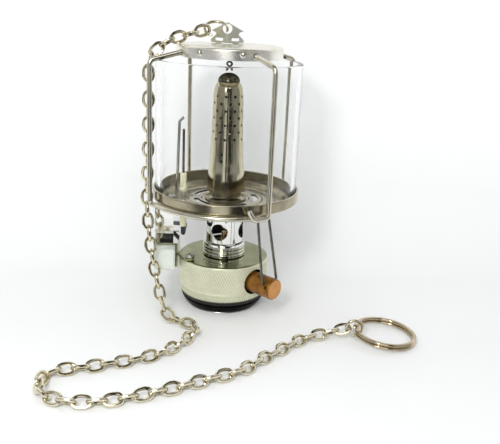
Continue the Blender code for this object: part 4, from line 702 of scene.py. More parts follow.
KEY_RING_R = 12.5 * mm
KEY_RING_WIDTH = 1.7 * mm
KEY_RING_THICKNESS = 1.3 * mm
KEY_RING_PITCH = 1.36 * mm
KEY_RING_TURNS = 1.95
KEY_RING_START = math.radians(-171)
KEY_RING_STEPS = 110
KEY_RING_SIDES = 18
KEY_RING_SEAT = Vector((0.6, 0, -0.95)) * mm
FLOOR_LIFT = 0.05 * mm


def key_ring_mesh(bm):
    """The wire climbs to its upper turn in the gap between its two cut ends."""
    radius = KEY_RING_R - KEY_RING_WIDTH / 2
    seat = RING_LINK_PLACE + KEY_RING_SEAT
    half_height = (KEY_RING_THICKNESS + KEY_RING_PITCH) / 2
    tilt = math.asin((seat.z - half_height - FLOOR_LIFT) / (2 * radius))
    place = Matrix.Translation(seat) @ Matrix.Rotation(tilt, 4, "Y")
    rings = []
    for step in range(int(KEY_RING_TURNS * KEY_RING_STEPS) + 1):
        turns = step / KEY_RING_STEPS
        share = min(max((turns - (KEY_RING_TURNS - 1)) / (2 - KEY_RING_TURNS), 0), 1)
        level = (share * share * (3 - 2 * share) - 0.5) * KEY_RING_PITCH
        angle = math.tau * turns + KEY_RING_START
        outward = Vector((math.cos(angle), math.sin(angle), 0))
        centre = Vector((radius, 0, level)) + outward * radius
        ring = []
        for corner in range(KEY_RING_SIDES):
            turn = math.tau * corner / KEY_RING_SIDES
            wide = math.cos(turn) * KEY_RING_WIDTH / 2
            high = math.sin(turn) * KEY_RING_THICKNESS / 2
            ring.append(bm.verts.new(place @ (centre + outward * wide + Vector((0, 0, high)))))
        rings.append(ring)
    skin(bm, rings)


bm = bmesh.new()
key_ring_mesh(bm)
key_ring = piece("split_key_ring", bm, ring_steel, "key_ring")
print("rings:", lug_ring.name, ring_link.name, key_ring.name)

# %% [markdown]
# Floor and light. The lantern was photographed on a sweep of white paper, with one fairly small
# light beside the camera, up and to the left, and soft light from above. The paper rises close
# behind the lantern, so the lantern's shadow falls on it. Its colour is painted paler with height:
# painted light on the upper paper. It is one-sided: from behind it is clear, so the lantern can
# be looked at from there as well. Round the paper the room was dark, and that is what gives
# polished metal its black stripes. Cards of felt stand in for the room. Only a ray that has
# already met a mirror finds them; a plain look, also one through the glass, passes them by.

# %% Floor, paper and lights
FLOOR_SIZE = 8.0
PAPER_Y = 64 * mm
PAPER_BEND = 38 * mm
PAPER_RISE = 0.7
PAPER_REACH = 0.15
PAPER_LIFT = 0.02 * mm
PAPER_HALF_WIDTH = 1.3
PAPER_COLUMNS = 40
WORLD_STRENGTH = 0.72
WORLD_SEEN = 0.95
LIGHT_TARGET = Vector((0, 0, 55 * mm))
BLACK_FELT = 0.012
ROOM_X, ROOM_Y = 1.3, -1.1
ROOM_HEIGHT = 1.5
SIDE_HEIGHT = 1.0
CEILING_Z, CEILING_BACK_Y = 1.2, 0.6
PASSED_MIRROR = 0.5


def paper_material(name, one_sided_and_paler_up=False):
    made = Graph(name)
    tone = made.ramp(made.noise(60 * mm), (0.3, (0.875, 0.882, 0.880)),
                     (0.7, (0.895, 0.902, 0.90)))
    if one_sided_and_paler_up:
        # Painted light: the paper's colour turns paler from 5 mm up to 70 mm.
        tone = made.mix(made.height_share(5 * mm, 70 * mm), tone, (0.985, 0.99, 0.99))
        made.show_mix(made.add("NewGeometry", "Backfacing"), made.shader.outputs["BSDF"],
                      made.add("BsdfTransparent", "BSDF"))
    made.feed({"Base Color": tone, "Roughness": 0.8, "Specular IOR Level": 0.2})
    return made.owner


def stage_object(name, bm, material):
    made = smooth_object(name, bm, material)
    return made


def add_floor():
    bm = bmesh.new()
    bmesh.ops.create_grid(bm, x_segments=1, y_segments=1, size=FLOOR_SIZE / 2)
    stage_object("floor", bm, paper_material("pale_paper"))


def add_paper_sweep():
    """A quarter round from the floor up to an upright sheet, seen from the front only."""
    outline = [(PAPER_Y - PAPER_BEND - PAPER_REACH, PAPER_LIFT)]
    outline += [(PAPER_Y - PAPER_BEND * (1 - math.sin(angle)),
                 PAPER_LIFT + PAPER_BEND * (1 - math.cos(angle)))
                for angle in evenly(0, math.pi / 2, 16)]
    outline.append((PAPER_Y, PAPER_RISE))
    bm = bmesh.new()
    rows = [[bm.verts.new((x, y, z))
             for x in evenly(-PAPER_HALF_WIDTH, PAPER_HALF_WIDTH, PAPER_COLUMNS)]
            for y, z in outline]
    for near, far in zip(rows, rows[1:]):
        for column in range(PAPER_COLUMNS):
            bm.faces.new((near[column], near[column + 1], far[column + 1], far[column]))
    made = stage_object("paper_sweep", bm, paper_material("risen_paper_painted_light", one_sided_and_paler_up=True))
    made.visible_shadow = False


def soft_light(name, place, width, height, power):
    """A rectangle of light whose -Z axis points at the lantern's middle."""
    light = add_object(name, bpy.data.lights.new(name, "AREA"))
    light.data.shape = "RECTANGLE"
    light.data.size, light.data.size_y, light.data.energy = width, height, power
    turn = (LIGHT_TARGET - Vector(place)).to_track_quat("-Z", "Y").to_matrix().to_4x4()
    light.matrix_world = Matrix.Translation(place) @ turn


def dark_card(name, corners, tone):
    """Felt that only mirrors see, also the ones behind glass: a look through glass misses it."""
    bm = bmesh.new()
    bm.faces.new([bm.verts.new(corner) for corner in corners])
    felt = Graph(name + "_felt")
    felt.feed({"Base Color": (tone, tone, tone), "Roughness": 1, "Specular IOR Level": 0})
    mirrored = felt.add("Math", "Value", {0: felt.add("LightPath", "Glossy Depth"),
                                          1: PASSED_MIRROR}, operation="GREATER_THAN")
    felt.show_mix(mirrored, felt.add("BsdfTransparent", "BSDF"), felt.shader.outputs["BSDF"])
    made = stage_object(name, bm, felt.owner)
    made.visible_camera = made.visible_diffuse = made.visible_shadow = False


def set_world():
    """Dim for the light it gives, white where it is seen, mirrored or looked at through glass."""
    world = Graph("studio", bpy.data.worlds, "Background")
    seen = world.add("LightPath", "Is Camera Ray")
    for other in ("Is Glossy Ray", "Is Transmission Ray"):
        seen = world.add("Math", "Value", {0: seen, 1: world.add("LightPath", other)},
                         operation="MAXIMUM")
    world.feed({"Color": (0.93, 0.94, 0.95),
                "Strength": world.remap(seen, WORLD_STRENGTH, WORLD_SEEN, 0, 1)})
    bpy.context.scene.world = world.owner


add_floor()
add_paper_sweep()
set_world()
bpy.context.scene.view_settings.view_transform = "Standard"
soft_light("camera_light", (-0.070, -0.275, 0.195), 0.045, 0.045, 0.27)
soft_light("upper_light", (-0.1, -0.75, 0.85), 0.8, 0.6, 3.2)
FLOOR_CARD_Z = 0.6 * mm
FLOOR_CARDS = {
    "floor_left": (0.04, ((-0.05, -0.13), (-0.9, -0.13), (-0.9, -0.95), (-0.27, -0.95))),
    "floor_middle": (BLACK_FELT, ((0.10, -0.12), (0.012, -0.12), (0.10, -0.95), (0.80, -0.95))),
    "floor_right": (0.26, ((0.9, -0.12), (0.10, -0.12), (0.80, -0.95), (0.9, -0.95)))}
UPRIGHT_CARDS = {
    "wall_left": (0.48, (-ROOM_X, ROOM_Y), (-0.31, ROOM_Y), 0, ROOM_HEIGHT),
    "wall_near_right": (BLACK_FELT, (0.115, ROOM_Y), (0.50, ROOM_Y), 0, ROOM_HEIGHT),
    "wall_far_right": (0.42, (0.50, ROOM_Y), (ROOM_X, ROOM_Y), 0, ROOM_HEIGHT),
    "wall_middle": (BLACK_FELT, (-0.31, ROOM_Y), (0.115, ROOM_Y), 0.35, ROOM_HEIGHT),
    "side_left": (0.48, (-0.60, ROOM_Y), (-0.48, 0.06), 0, SIDE_HEIGHT),
    "side_right": (0.42, (0.60, ROOM_Y), (0.48, 0.04), 0, SIDE_HEIGHT)}
for name, (tone, corners) in FLOOR_CARDS.items():
    dark_card(name, [(x, y, FLOOR_CARD_Z) for x, y in corners], tone)
for name, (tone, start, end, low, high) in UPRIGHT_CARDS.items():
    dark_card(name, [(*start, low), (*end, low), (*end, high), (*start, high)], tone)
dark_card("ceiling", [(x, y, CEILING_Z) for x, y in (
    (-ROOM_X, ROOM_Y), (ROOM_X, ROOM_Y), (ROOM_X, CEILING_BACK_Y), (-ROOM_X, CEILING_BACK_Y))],
    BLACK_FELT)
print("two lights, one paper sweep and", len(FLOOR_CARDS) + len(UPRIGHT_CARDS) + 1, "felt cards")

# %% [markdown]
# The base pad and the collar. The pad is a ring of black rubber. A thin ring of steel under it stands in for the
# pale line along its lower edge: a painted highlight.
# The collar's knurl is real geometry: two families of grooves, crossing at an angle, lower the
# surface where they run. A bump in the material would be cheaper, but it would be gone from the
# outline.

# %% Base pad
pad_low, pad_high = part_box("base_pad")
PAD_BORE_R = 12.8 * mm
PAD_RIM = 0.5 * mm
pad_foot_r = pad_high.x - 1.2 * mm
turned("base_pad_ring",
       [(PAD_BORE_R, pad_low.z + PAD_RIM), (pad_foot_r - 0.7 * mm, pad_low.z + PAD_RIM),
        (pad_foot_r + 0.1 * mm, pad_low.z + 1.3 * mm), (pad_high.x, pad_high.z - 0.6 * mm),
        (pad_high.x - 0.2 * mm, pad_high.z), (PAD_BORE_R, pad_high.z)],
       rubber, "base_pad", ease=0.35 * mm)
# A thin steel ring under the pad that stands in for the pale line along its lower edge: painted highlight.
turned("base_pad_highlight_rim",
       [(PAD_BORE_R + 1.5 * mm, pad_low.z), (pad_foot_r - 1.0 * mm, pad_low.z),
        (pad_foot_r - 0.55 * mm, pad_low.z + 0.25 * mm),
        (pad_foot_r - 0.7 * mm, pad_low.z + PAD_RIM),
        (PAD_BORE_R + 1.5 * mm, pad_low.z + PAD_RIM)],
       plain_steel, "base_pad", ease=0.08 * mm)
print("pad:", round(pad_high.x / mm, 1), "mm radius")

# %% Knurled collar
collar_low, collar_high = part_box("knurled_collar")
COLLAR_R = collar_high.x
COLLAR_FOOT_R = COLLAR_R - 1.1 * mm
GROOVE_Z = collar_low.z + 5.3 * mm
GROOVE = 0.28 * mm
COLLAR_CHAMFER = 0.9 * mm
COLLAR_BORE_R = 12.0 * mm
COLLAR_TOP_WALL = 2.2 * mm
NECK_BORE_R = 5.7 * mm
KNURL_TEETH = 110
KNURL_DEPTH = 0.26 * mm
KNURL_STEPS = 550
KNURL_RISE = 0.22 * mm
PAINTED_SHADE_DEPTH_SHARE = 0.45
KNURL_LEAD = 2.2 * mm
CROSS_CLIMB, CROSS_DEPTH = 0.4, 0.5


def knurl(radius, height, angle):
    """How far the diamond pattern lowers the surface at a point of the collar's side."""
    upper = GROOVE_Z + 0.5 * mm < height < collar_high.z - 1.2 * mm
    lower = collar_low.z + 0.3 * mm < height < GROOVE_Z - 0.5 * mm
    if radius < COLLAR_FOOT_R - 0.1 * mm or not (upper or lower):
        return 0
    round_share = angle / math.tau * KNURL_TEETH
    climb = height / KNURL_LEAD
    first = abs((round_share + climb) % 1 - 0.5) * 2
    second = abs((round_share - climb * CROSS_CLIMB) % 1 - 0.5) * 2
    return -KNURL_DEPTH * max(first ** 3, CROSS_DEPTH * second ** 3)


def collar_side(low_z, low_r, high_z, high_r):
    """Enough points up a stretch of the side for the knurl to show."""
    count = max(2, round((high_z - low_z) / KNURL_RISE))
    return list(zip(evenly(low_r, high_r, count), evenly(low_z, high_z, count)))


collar_profile = (
    [(COLLAR_BORE_R, collar_low.z), (COLLAR_FOOT_R - 0.3 * mm, collar_low.z)]
    + collar_side(collar_low.z + 0.2 * mm, COLLAR_FOOT_R, GROOVE_Z - GROOVE, COLLAR_R)
    + [(COLLAR_R - GROOVE, GROOVE_Z)]
    + collar_side(GROOVE_Z + GROOVE, COLLAR_R, collar_high.z - COLLAR_CHAMFER, COLLAR_R)
    + profile_arc((COLLAR_R - COLLAR_CHAMFER, collar_high.z - COLLAR_CHAMFER), COLLAR_CHAMFER,
                  0.1, math.pi / 2, 8)
    + [(13.5 * mm, collar_high.z), (NECK_BORE_R, collar_high.z),
       (NECK_BORE_R, collar_high.z - COLLAR_TOP_WALL),
       (COLLAR_BORE_R, collar_high.z - COLLAR_TOP_WALL)])
collar = turned("knurled_collar_shell", collar_profile, collar_finish, "knurled_collar", ease=0,
                steps=KNURL_STEPS, lift=knurl)


# The mask for the painted shade: faces that lie deeper than a share of the knurl's depth.
def in_a_painted_shade_groove(middle, normal):
    depth = knurl(COLLAR_R, middle.z, math.atan2(middle.y, middle.x))
    return depth < -PAINTED_SHADE_DEPTH_SHARE * KNURL_DEPTH and middle.xy.length > COLLAR_FOOT_R - 0.3 * mm


repaint(collar, knurl_groove_painted_shade, in_a_painted_shade_groove)
print("collar:", len(collar.data.polygons), "faces")

# %% [markdown]
# The knob sits in a round pocket that is drilled into the collar's side. The drill is a cylinder
# in a Boolean modifier. Its frame points outward along the spindle, and the knob, the gland and
# the needle are all turned in the same frame, so they line up by themselves.

# %% Pocket, knob and spindle
KNOB_AZIMUTH = math.radians(-45)
KNOB_Z = next(joint["pos_m"][2] for joint in frame["joints"] if joint["name"] == "valve_turn")
KNOB_R = 4.4 * mm
KNOB_TIP = COLLAR_R + 11.2 * mm
KNOB_ROOT = KNOB_TIP - 16.2 * mm
POCKET_R = KNOB_R + 1.05 * mm
knob_out = Vector((math.cos(KNOB_AZIMUTH), math.sin(KNOB_AZIMUTH), 0))
upward = Vector((0, 0, 1))
KNOB_PLACE = (Matrix.Translation((0, 0, KNOB_Z))
              @ Matrix((upward, knob_out.cross(upward), knob_out)).transposed().to_4x4())


def cut(target, name, build):
    """Cut a shape out of a piece; the cutter is thrown away."""
    bm = bmesh.new()
    build(bm)
    bmesh.ops.recalc_face_normals(bm, faces=bm.faces)
    tool = smooth_object(name, bm)
    modifier = target.modifiers.new(name, "BOOLEAN")
    modifier.operation = "DIFFERENCE"
    modifier.solver = "EXACT"
    modifier.object = tool
    bpy.context.view_layer.update()
    shape = bpy.data.meshes.new_from_object(
        target.evaluated_get(bpy.context.evaluated_depsgraph_get()))
    target.modifiers.clear()
    old = target.data
    target.data = shape
    bpy.data.meshes.remove(old)
    bpy.data.objects.remove(tool)
    shape.shade_smooth()
    shape.set_sharp_from_angle(angle=CREASE)


def bar(bm, radius, low, high, place, steps=48):
    turn_profile(bm, [(0, low), (radius, low), (radius, high), (0, high)], steps, place)


def prism(bm, outline, low, high):
    """An upright block over an outline of (x, y) points."""
    skin(bm, [[bm.verts.new((x, y, z)) for x, y in outline] for z in (low, high)])


cut(collar, "pocket_drill", lambda bm: bar(bm, POCKET_R, COLLAR_BORE_R - mm, COLLAR_R + mm,
                                           KNOB_PLACE, 72))

KNOB_EDGE = 0.75 * mm
KNOB_BORE_R = 1.8 * mm
KNOB_BORE_DEPTH = 6.0 * mm
knob_profile = (
    [(KNOB_BORE_R, KNOB_ROOT), (KNOB_R - 0.5 * mm, KNOB_ROOT), (KNOB_R, KNOB_ROOT + 0.5 * mm)]
    + profile_arc((KNOB_R - KNOB_EDGE, KNOB_TIP - KNOB_EDGE), KNOB_EDGE, 0, math.pi / 2, 7)
    + [(0, KNOB_TIP), (0, KNOB_ROOT + KNOB_BORE_DEPTH),
       (KNOB_BORE_R, KNOB_ROOT + KNOB_BORE_DEPTH)])
knob = turned("amber_knob", knob_profile, amber, "control_knob", ease=0.12 * mm,
              place=KNOB_PLACE)
KEY_HOLE_R = 0.8 * mm
KEY_HOLE_INSET = 1.7 * mm
KEY_HOLE_TILT = math.radians(-20)
BAIL_WIRE_R = 0.55 * mm
BAIL_INSET = 3.2 * mm
BAIL_RISE = 0.62 * KNOB_R


def cross_drill(rise, reach, tilt, radius):
    place = (KNOB_PLACE @ Matrix.Translation((rise, 0, reach))
             @ Matrix.Rotation(tilt, 4, "Z") @ Matrix.Rotation(math.pi / 2, 4, "X"))
    return lambda bm: bar(bm, radius, -2 * KNOB_R, 2 * KNOB_R, place, 28)


top_face_z = collar_high.z - 0.4 * mm
# The top face gets the darkened tone: painted shade.
repaint(collar, collar_top_painted_shade,
        lambda middle, normal: middle.z > top_face_z and normal.z > 0.6)
# The collar's inside and the pocket's walls get near black: painted shade.
repaint(collar, dark_inside_painted_shade, lambda middle, normal: middle.xy.length < COLLAR_R - 0.8 * mm
        and middle.z < top_face_z and normal.z > -0.9)
cut(knob, "key_hole", cross_drill(0, KNOB_TIP - KEY_HOLE_INSET, KEY_HOLE_TILT, KEY_HOLE_R))
cut(knob, "bail_hole", cross_drill(BAIL_RISE, KNOB_TIP - BAIL_INSET, 0, BAIL_WIRE_R + 0.12 * mm))
# The knob's end face gets the lighter copy: painted light.
repaint(knob, amber_end_painted_light, lambda middle, normal: normal.dot(knob_out) > 0.9)

VALVE_R = COLLAR_BORE_R - 0.3 * mm
turned("spindle_gland_nut",
       above(VALVE_R, (1.8, -3.3), (2.7, -3.3), (2.7, 0.3), (3.9, 0.3), (3.9, 1.5), (1.8, 1.5)),
       brass, "spindle_gland", steps=64, place=KNOB_PLACE)
turned("needle_spindle_rod",
       above(0, (0, 1.4), (0.4, 1.4), (1.5, 4.4)) + above(KNOB_ROOT, (1.5, 5.7), (0, 5.7)),
       plain_steel, "needle_spindle", steps=48, place=KNOB_PLACE)
print("knob: from", round(KNOB_ROOT / mm, 1), "to", round(KNOB_TIP / mm, 1), "mm off the axis")

# %% Wire bail
BAIL_LEAN = math.radians(11)
BAIL_TOP = 6.4 * mm
BAIL_FOOT = 1.9 * mm
bail_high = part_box("knob_bail")[1]
bail_pivot = KNOB_PLACE @ Vector((BAIL_RISE, 0, KNOB_TIP - BAIL_INSET))


def bail_route():
    """A U of wire whose two feet turn into the knob."""
    rise = (bail_high.z - BAIL_WIRE_R - bail_pivot.z) / math.cos(BAIL_LEAN)
    spread = math.sqrt((KNOB_R + BAIL_WIRE_R + 0.15 * mm) ** 2 - BAIL_RISE ** 2)
    top = BAIL_TOP / 2
    flat = [Vector((0, spread - BAIL_FOOT, 0)), Vector((0, spread, 0)), Vector((rise, top, 0)),
            Vector((rise, -top, 0)), Vector((0, -spread, 0)), Vector((0, BAIL_FOOT - spread, 0))]
    place = (Matrix.Translation(bail_pivot) @ KNOB_PLACE.to_3x3().to_4x4()
             @ Matrix.Rotation(BAIL_LEAN, 4, "Y"))
    return [place @ point for point in rounded(flat, 1.4 * mm, 8)]


wire("bail_wire", bail_route(), BAIL_WIRE_R, dark_wire, "knob_bail")
print("bail top at", round(bail_high.z / mm, 1), "mm")

# %% [markdown]
# Inside the collar. The valve body is brass, with the socket that the canister screws into. Its
# thread is cut as rings: at this size nobody can tell them from a helix, and rings stay simple.
# An O-ring lies in a groove round the socket, and a pin in the middle opens the canister.

# %% Valve body, seal and pin
valve_low, valve_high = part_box("valve_body")
SOCKET_R = 5.56 * mm
SOCKET_DEPTH = 9.0 * mm
NECK_R = 5.4 * mm
SEAL_RING_R = 8.2 * mm
SEAL_R = 0.9 * mm
SEAL_GAP = 0.3 * mm
PASSAGE_R = 0.8 * mm
THREAD_PITCH = 0.9 * mm


def socket_thread(low, high):
    turns = int((high - low) / THREAD_PITCH)
    return [point for turn in range(turns) for point in (
        (SOCKET_R, high - turn * THREAD_PITCH),
        (SOCKET_R + 0.35 * mm, high - (turn + 0.5) * THREAD_PITCH))]


valve_top = collar_high.z - COLLAR_TOP_WALL - 0.3 * mm
socket_top = valve_low.z + SOCKET_DEPTH
seal_roof = valve_low.z - 0.4 * mm + 2 * SEAL_R + SEAL_GAP
seal_in, seal_out = SEAL_RING_R - SEAL_R - SEAL_GAP, SEAL_RING_R + SEAL_R + SEAL_GAP
valve_profile = (
    [(SOCKET_R + 0.5 * mm, valve_low.z), (seal_in, valve_low.z), (seal_in, seal_roof),
     (seal_out, seal_roof), (seal_out, valve_low.z), (VALVE_R, valve_low.z),
     (VALVE_R, valve_top), (NECK_R, valve_top), (NECK_R, valve_high.z),
     (1.7 * mm, valve_high.z), (1.7 * mm, valve_high.z - 2.7 * mm),
     (PASSAGE_R, valve_high.z - 2.7 * mm), (PASSAGE_R, socket_top), (SOCKET_R, socket_top)]
    + socket_thread(valve_low.z + 0.8 * mm, socket_top - 1.5 * mm))
valve_body = turned("valve_body_brass", valve_profile, brass, "valve_body", ease=0.08 * mm)
NEEDLE_STEP = VALVE_R - 3.6 * mm
cut(valve_body, "needle_drill", lambda bm: turn_profile(
    bm, [(0, 0), (1.8 * mm, 0), (1.8 * mm, NEEDLE_STEP), (3.0 * mm, NEEDLE_STEP),
         (3.0 * mm, VALVE_R + mm), (0, VALVE_R + mm)], 48, KNOB_PLACE))
seal_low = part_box("canister_seal")[0]
turned("canister_seal_ring",
       profile_arc((SEAL_RING_R, seal_low.z + SEAL_R), SEAL_R, 0, math.tau, 18)[:-1],
       rubber, "canister_seal", ease=0)
pin_low, pin_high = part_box("valve_pin")
turned("valve_pin_rod",
       above(pin_low.z, (0, 0), (0.6, 0), (0.8, 0.3), (0.8, 4), (2.2, 4), (2.2, 5), (0.5, 5))
       + above(pin_high.z, (0.5, 0), (0, 0)),
       plain_steel, "valve_pin", ease=0.08 * mm, steps=48)
print("socket:", round(SOCKET_DEPTH / mm, 1), "mm deep")

# %% [markdown]
# The mixer. A ringed flange holds the jet, and a chromed tube stands on it. Four round holes
# let air in beside the jet's stream of gas. They are drilled right across by two bars, so each
# hole faces its partner. Chrome shows every facet, so the tube has many steps.

# %% Mixer flange, jet and tube
flange_low, flange_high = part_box("mixer_flange")
tube_low, tube_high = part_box("mixing_tube")
FLANGE_R = flange_high.x
flange_steps = [(5.7 * mm, flange_low.z), (FLANGE_R, flange_low.z)]
for base in (1.35, 2.75, 4.15):
    flange_steps += [(FLANGE_R, flange_low.z + base * mm),
                     (FLANGE_R - 0.55 * mm, flange_low.z + (base + 0.2) * mm),
                     (FLANGE_R - 0.1 * mm, flange_low.z + (base + 0.4) * mm)]
flange_steps += [(FLANGE_R - 0.2 * mm, flange_high.z), (2.9 * mm, flange_high.z),
                 (2.9 * mm, flange_high.z - 2.4 * mm), (5.7 * mm, flange_high.z - 2.4 * mm)]
turned("mixer_flange_rings", flange_steps, chrome, "mixer_flange", ease=0.18 * mm)
jet_low, jet_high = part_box("gas_jet")


def hexed(radius, height, angle):
    """Turn a round bar into a hexagon over the jet's lower part."""
    foot = jet_low.z + 2.4 * mm
    if radius < 2.5 * mm or not foot <= height <= foot + 2.4 * mm:
        return 0
    turn = angle % (math.pi / 3) - math.pi / 6
    return radius * (math.cos(math.pi / 6) / math.cos(turn) - 1)


turned("gas_jet_brass",
       above(jet_low.z, (0.8, 0), (1.4, 0), (1.4, 2.4), (2.6, 2.4), (2.6, 4.8), (1.6, 4.8))
       + above(jet_high.z, (1.0, 0), (0.3, 0)) + above(jet_low.z, (0.3, 3), (0.8, 2.4)),
       brass, "gas_jet", ease=0.06 * mm, steps=72, lift=hexed)
TUBE_R = tube_high.x
TUBE_WALL = 0.8 * mm
SPIGOT_R = 6.4 * mm
tube_top = dish_low.z - 0.3 * mm
tube = turned("mixing_tube_chrome",
              [(TUBE_R - TUBE_WALL, tube_low.z), (TUBE_R, tube_low.z), (TUBE_R, tube_top),
               (SPIGOT_R, tube_top), (SPIGOT_R, tube_high.z),
               (SPIGOT_R - TUBE_WALL, tube_high.z), (SPIGOT_R - TUBE_WALL, tube_top - TUBE_WALL),
               (TUBE_R - TUBE_WALL, tube_top - TUBE_WALL)],
              chrome, "mixing_tube", ease=0.2 * mm, steps=160)
AIR_HOLE_R = 3.6 * mm
AIR_HOLE_Z = tube_low.z + 5.3 * mm
AIR_AZIMUTH = math.radians(-106)
for index in range(2):
    across = (Matrix.Translation((0, 0, AIR_HOLE_Z))
              @ Matrix.Rotation(AIR_AZIMUTH + index * math.pi / 2, 4, "Z")
              @ Matrix.Rotation(math.pi / 2, 4, "Y"))
    cut(tube, "air_drill", lambda bm: bar(bm, AIR_HOLE_R, -TUBE_R - mm, TUBE_R + mm, across, 56))
# The tube's inside gets near black: painted shade.
repaint(tube, dark_inside_painted_shade, lambda middle, normal: middle.xy.dot(normal.xy) < 0
        and middle.xy.length < TUBE_R - TUBE_WALL + 0.05 * mm)
print("air holes:", round(2 * AIR_HOLE_R / mm, 1), "mm wide")

# %% [markdown]
# The dish is pressed from one sheet: a flat floor, a step that the globe sits on and a short rim
# with a rolled lip. A raised ring in the floor stiffens it. The vents are curved slots with
# round ends. Three holes are drilled as well: for the insulator, the screw and one left open.

# %% Burner dish
SHEET = 0.7 * mm
DISH_R = dish_high.x
SEAT_R = DISH_R - 4.7 * mm
DISH_FLOOR_R = SEAT_R - 1.1 * mm
dish_floor = dish_low.z + SHEET
seat_z = dish_floor + 1.4 * mm
EMBOSS, EMBOSS_BELOW = 0.5, 0.4  # in millimetres, as above() takes them
DISH_BEND = 0.8 * mm


def dish_profile():
    """The upper face and then the lower one, both with the raised ring."""
    lip = 0.45 * mm
    upper = above(dish_floor, (6.7, 0), (9.6, 0), (10.2, EMBOSS), (15.2, EMBOSS), (15.8, 0),
                  (19.6, 0), (20, 0.3), (20.6, 0.3), (21, 0))
    upper += [(DISH_FLOOR_R - SHEET / 2, dish_floor), (SEAT_R - SHEET / 2, seat_z),
              (DISH_R - SHEET, seat_z), (DISH_R - SHEET, dish_high.z - lip)]
    roll = profile_arc((DISH_R - lip, dish_high.z - lip), lip, math.pi, 0, 8)
    lower = [(DISH_R, seat_z + 0.3 * mm)]
    lower += profile_arc((DISH_R - DISH_BEND, seat_z - SHEET + DISH_BEND), DISH_BEND, 0,
                         -math.pi / 2, 6)
    lower += [(SEAT_R, seat_z - SHEET), (DISH_FLOOR_R, dish_low.z)]
    lower += above(dish_low.z, (20.9, 0), (20.5, 0.25), (20.1, 0.25), (19.7, 0), (15.7, 0),
                   (15.1, EMBOSS_BELOW), (10.3, EMBOSS_BELOW), (9.7, 0), (6.7, 0))
    return upper + roll + lower


dish = turned("burner_dish_sheet", dish_profile(), dish_steel, "burner_dish", ease=0.1 * mm,
              steps=160)
VENT_COUNT = 5
VENT_R = 12.6 * mm
VENT_WIDTH = 2.2 * mm
VENT_SPAN = math.radians(38)
VENT_AZIMUTH = math.radians(-143)
INSULATOR_X, INSULATOR_Y = -0.566 * DISH_R, -0.263 * DISH_R
DISH_SCREW_X, DISH_SCREW_Y = -0.724 * DISH_R, -0.099 * DISH_R


def vent_slots(bm):
    """Curved slots; each outline runs out along its inner edge and back along its outer one."""
    half = VENT_WIDTH / 2
    for index in range(VENT_COUNT):
        middle = VENT_AZIMUTH + math.tau * index / VENT_COUNT
        start, end = middle - VENT_SPAN / 2, middle + VENT_SPAN / 2
        outline = []
        for radius, begin, finish, turn in ((VENT_R - half, start, end, math.pi),
                                            (VENT_R + half, end, start, 0)):
            outline += profile_arc((0, 0), radius, begin, finish, 12)
            cap = (VENT_R * math.cos(finish), VENT_R * math.sin(finish))
            outline += profile_arc(cap, half, finish + turn, finish + turn - math.pi, 8)[1:-1]
        prism(bm, outline, dish_low.z - mm, dish_floor + 2 * mm)


def dish_drills(bm):
    for x, y, radius in ((INSULATOR_X, INSULATOR_Y, 1.65 * mm),
                         (DISH_SCREW_X, DISH_SCREW_Y, 1.4 * mm), (-14.1 * mm, 0.4 * mm, 0.7 * mm)):
        bar(bm, radius, dish_low.z - mm, dish_floor + mm, Matrix.Translation((x, y, 0)), 32)


cut(dish, "vent_slots", vent_slots)
cut(dish, "dish_drills", dish_drills)
# Faces that look up get the lighter tone: painted reflection.
repaint(dish, dish_top_painted_light, lambda middle, normal: normal.z > 0.9)
# Upright walls within the dish floor, those of the vents and drills, get near black: painted shade.
repaint(dish, dark_inside_painted_shade, lambda middle, normal: abs(normal.z) < 0.3
        and 8 * mm < middle.xy.length < 25 * mm)
nut_low, nut_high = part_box("burner_nut")
NUT_EDGE = 0.4 * mm
nut_fillet = nut_high.z - nut_low.z - NUT_EDGE
turned("burner_nut_ring",
       [(6.7 * mm, nut_low.z), (nut_high.x, nut_low.z), (nut_high.x, nut_low.z + NUT_EDGE)]
       + profile_arc((nut_high.x, nut_low.z + NUT_EDGE + nut_fillet), nut_fillet,
                     -math.pi / 2, -math.pi, 8)[1:]
       + [(nut_high.x - nut_fillet, nut_high.z), (6.7 * mm, nut_high.z)],
       dish_steel, "burner_nut", ease=0.05 * mm)
print("dish:", len(dish.data.polygons), "faces")

# %% [markdown]
# The burner tube is a long polished cone of thin sheet, rolled and closed with a lapped seam.
# Seven rows of small holes are punched through it, each row turned half a step. All the punches
# are one mesh in one Boolean, which is far quicker than seventy Booleans. The seam is made by
# lifting the points beside its angle a little.

# %% Burner tube, cap and mantle hook
BURNER_WALL = 0.6 * mm
BURNER_FOOT_R = burner_high.x
burner_height = burner_high.z - burner_low.z
BURNER_SHARES = ((0.0, 1.0), (0.06, 0.985), (0.17, 0.955), (0.30, 0.885), (0.55, 0.815),
                 (0.86, 0.765), (0.935, 0.725), (0.975, 0.65), (1.0, 0.555))
HOLE_ROWS = 7
HOLES_PER_ROW = 10
HOLE_R = 0.55 * mm
HOLE_BAND = (0.495, 0.88)
SEAM_AZIMUTH = math.radians(-104)
SEAM_SPAN = math.radians(14)
SEAM_STEP = 0.16 * mm
SEAM_HOLES = (0.30, 0.36)


def burner_radius(share):
    for (low, small), (high, large) in zip(BURNER_SHARES, BURNER_SHARES[1:]):
        if share <= high:
            return BURNER_FOOT_R * (small + (large - small) * (share - low) / (high - low))


def seam(radius, height, angle):
    """The lap of the sheet: a step on one side that fades out on the other."""
    off = (angle - SEAM_AZIMUTH + math.pi) % math.tau - math.pi
    return SEAM_STEP * math.sqrt(1 - off / SEAM_SPAN) if 0 <= off < SEAM_SPAN else 0


def burner_profile():
    """A smooth run through the shares, outside up and inside down."""
    knots = [Vector((burner_radius(share), burner_low.z + share * burner_height, 0))
             for share, _ in BURNER_SHARES]
    outside = [(min(p.x, BURNER_FOOT_R), p.y) for p in smooth_route(knots, 5)]
    inside = [(radius - BURNER_WALL, height) for radius, height in outside]
    return outside + inside[::-1]


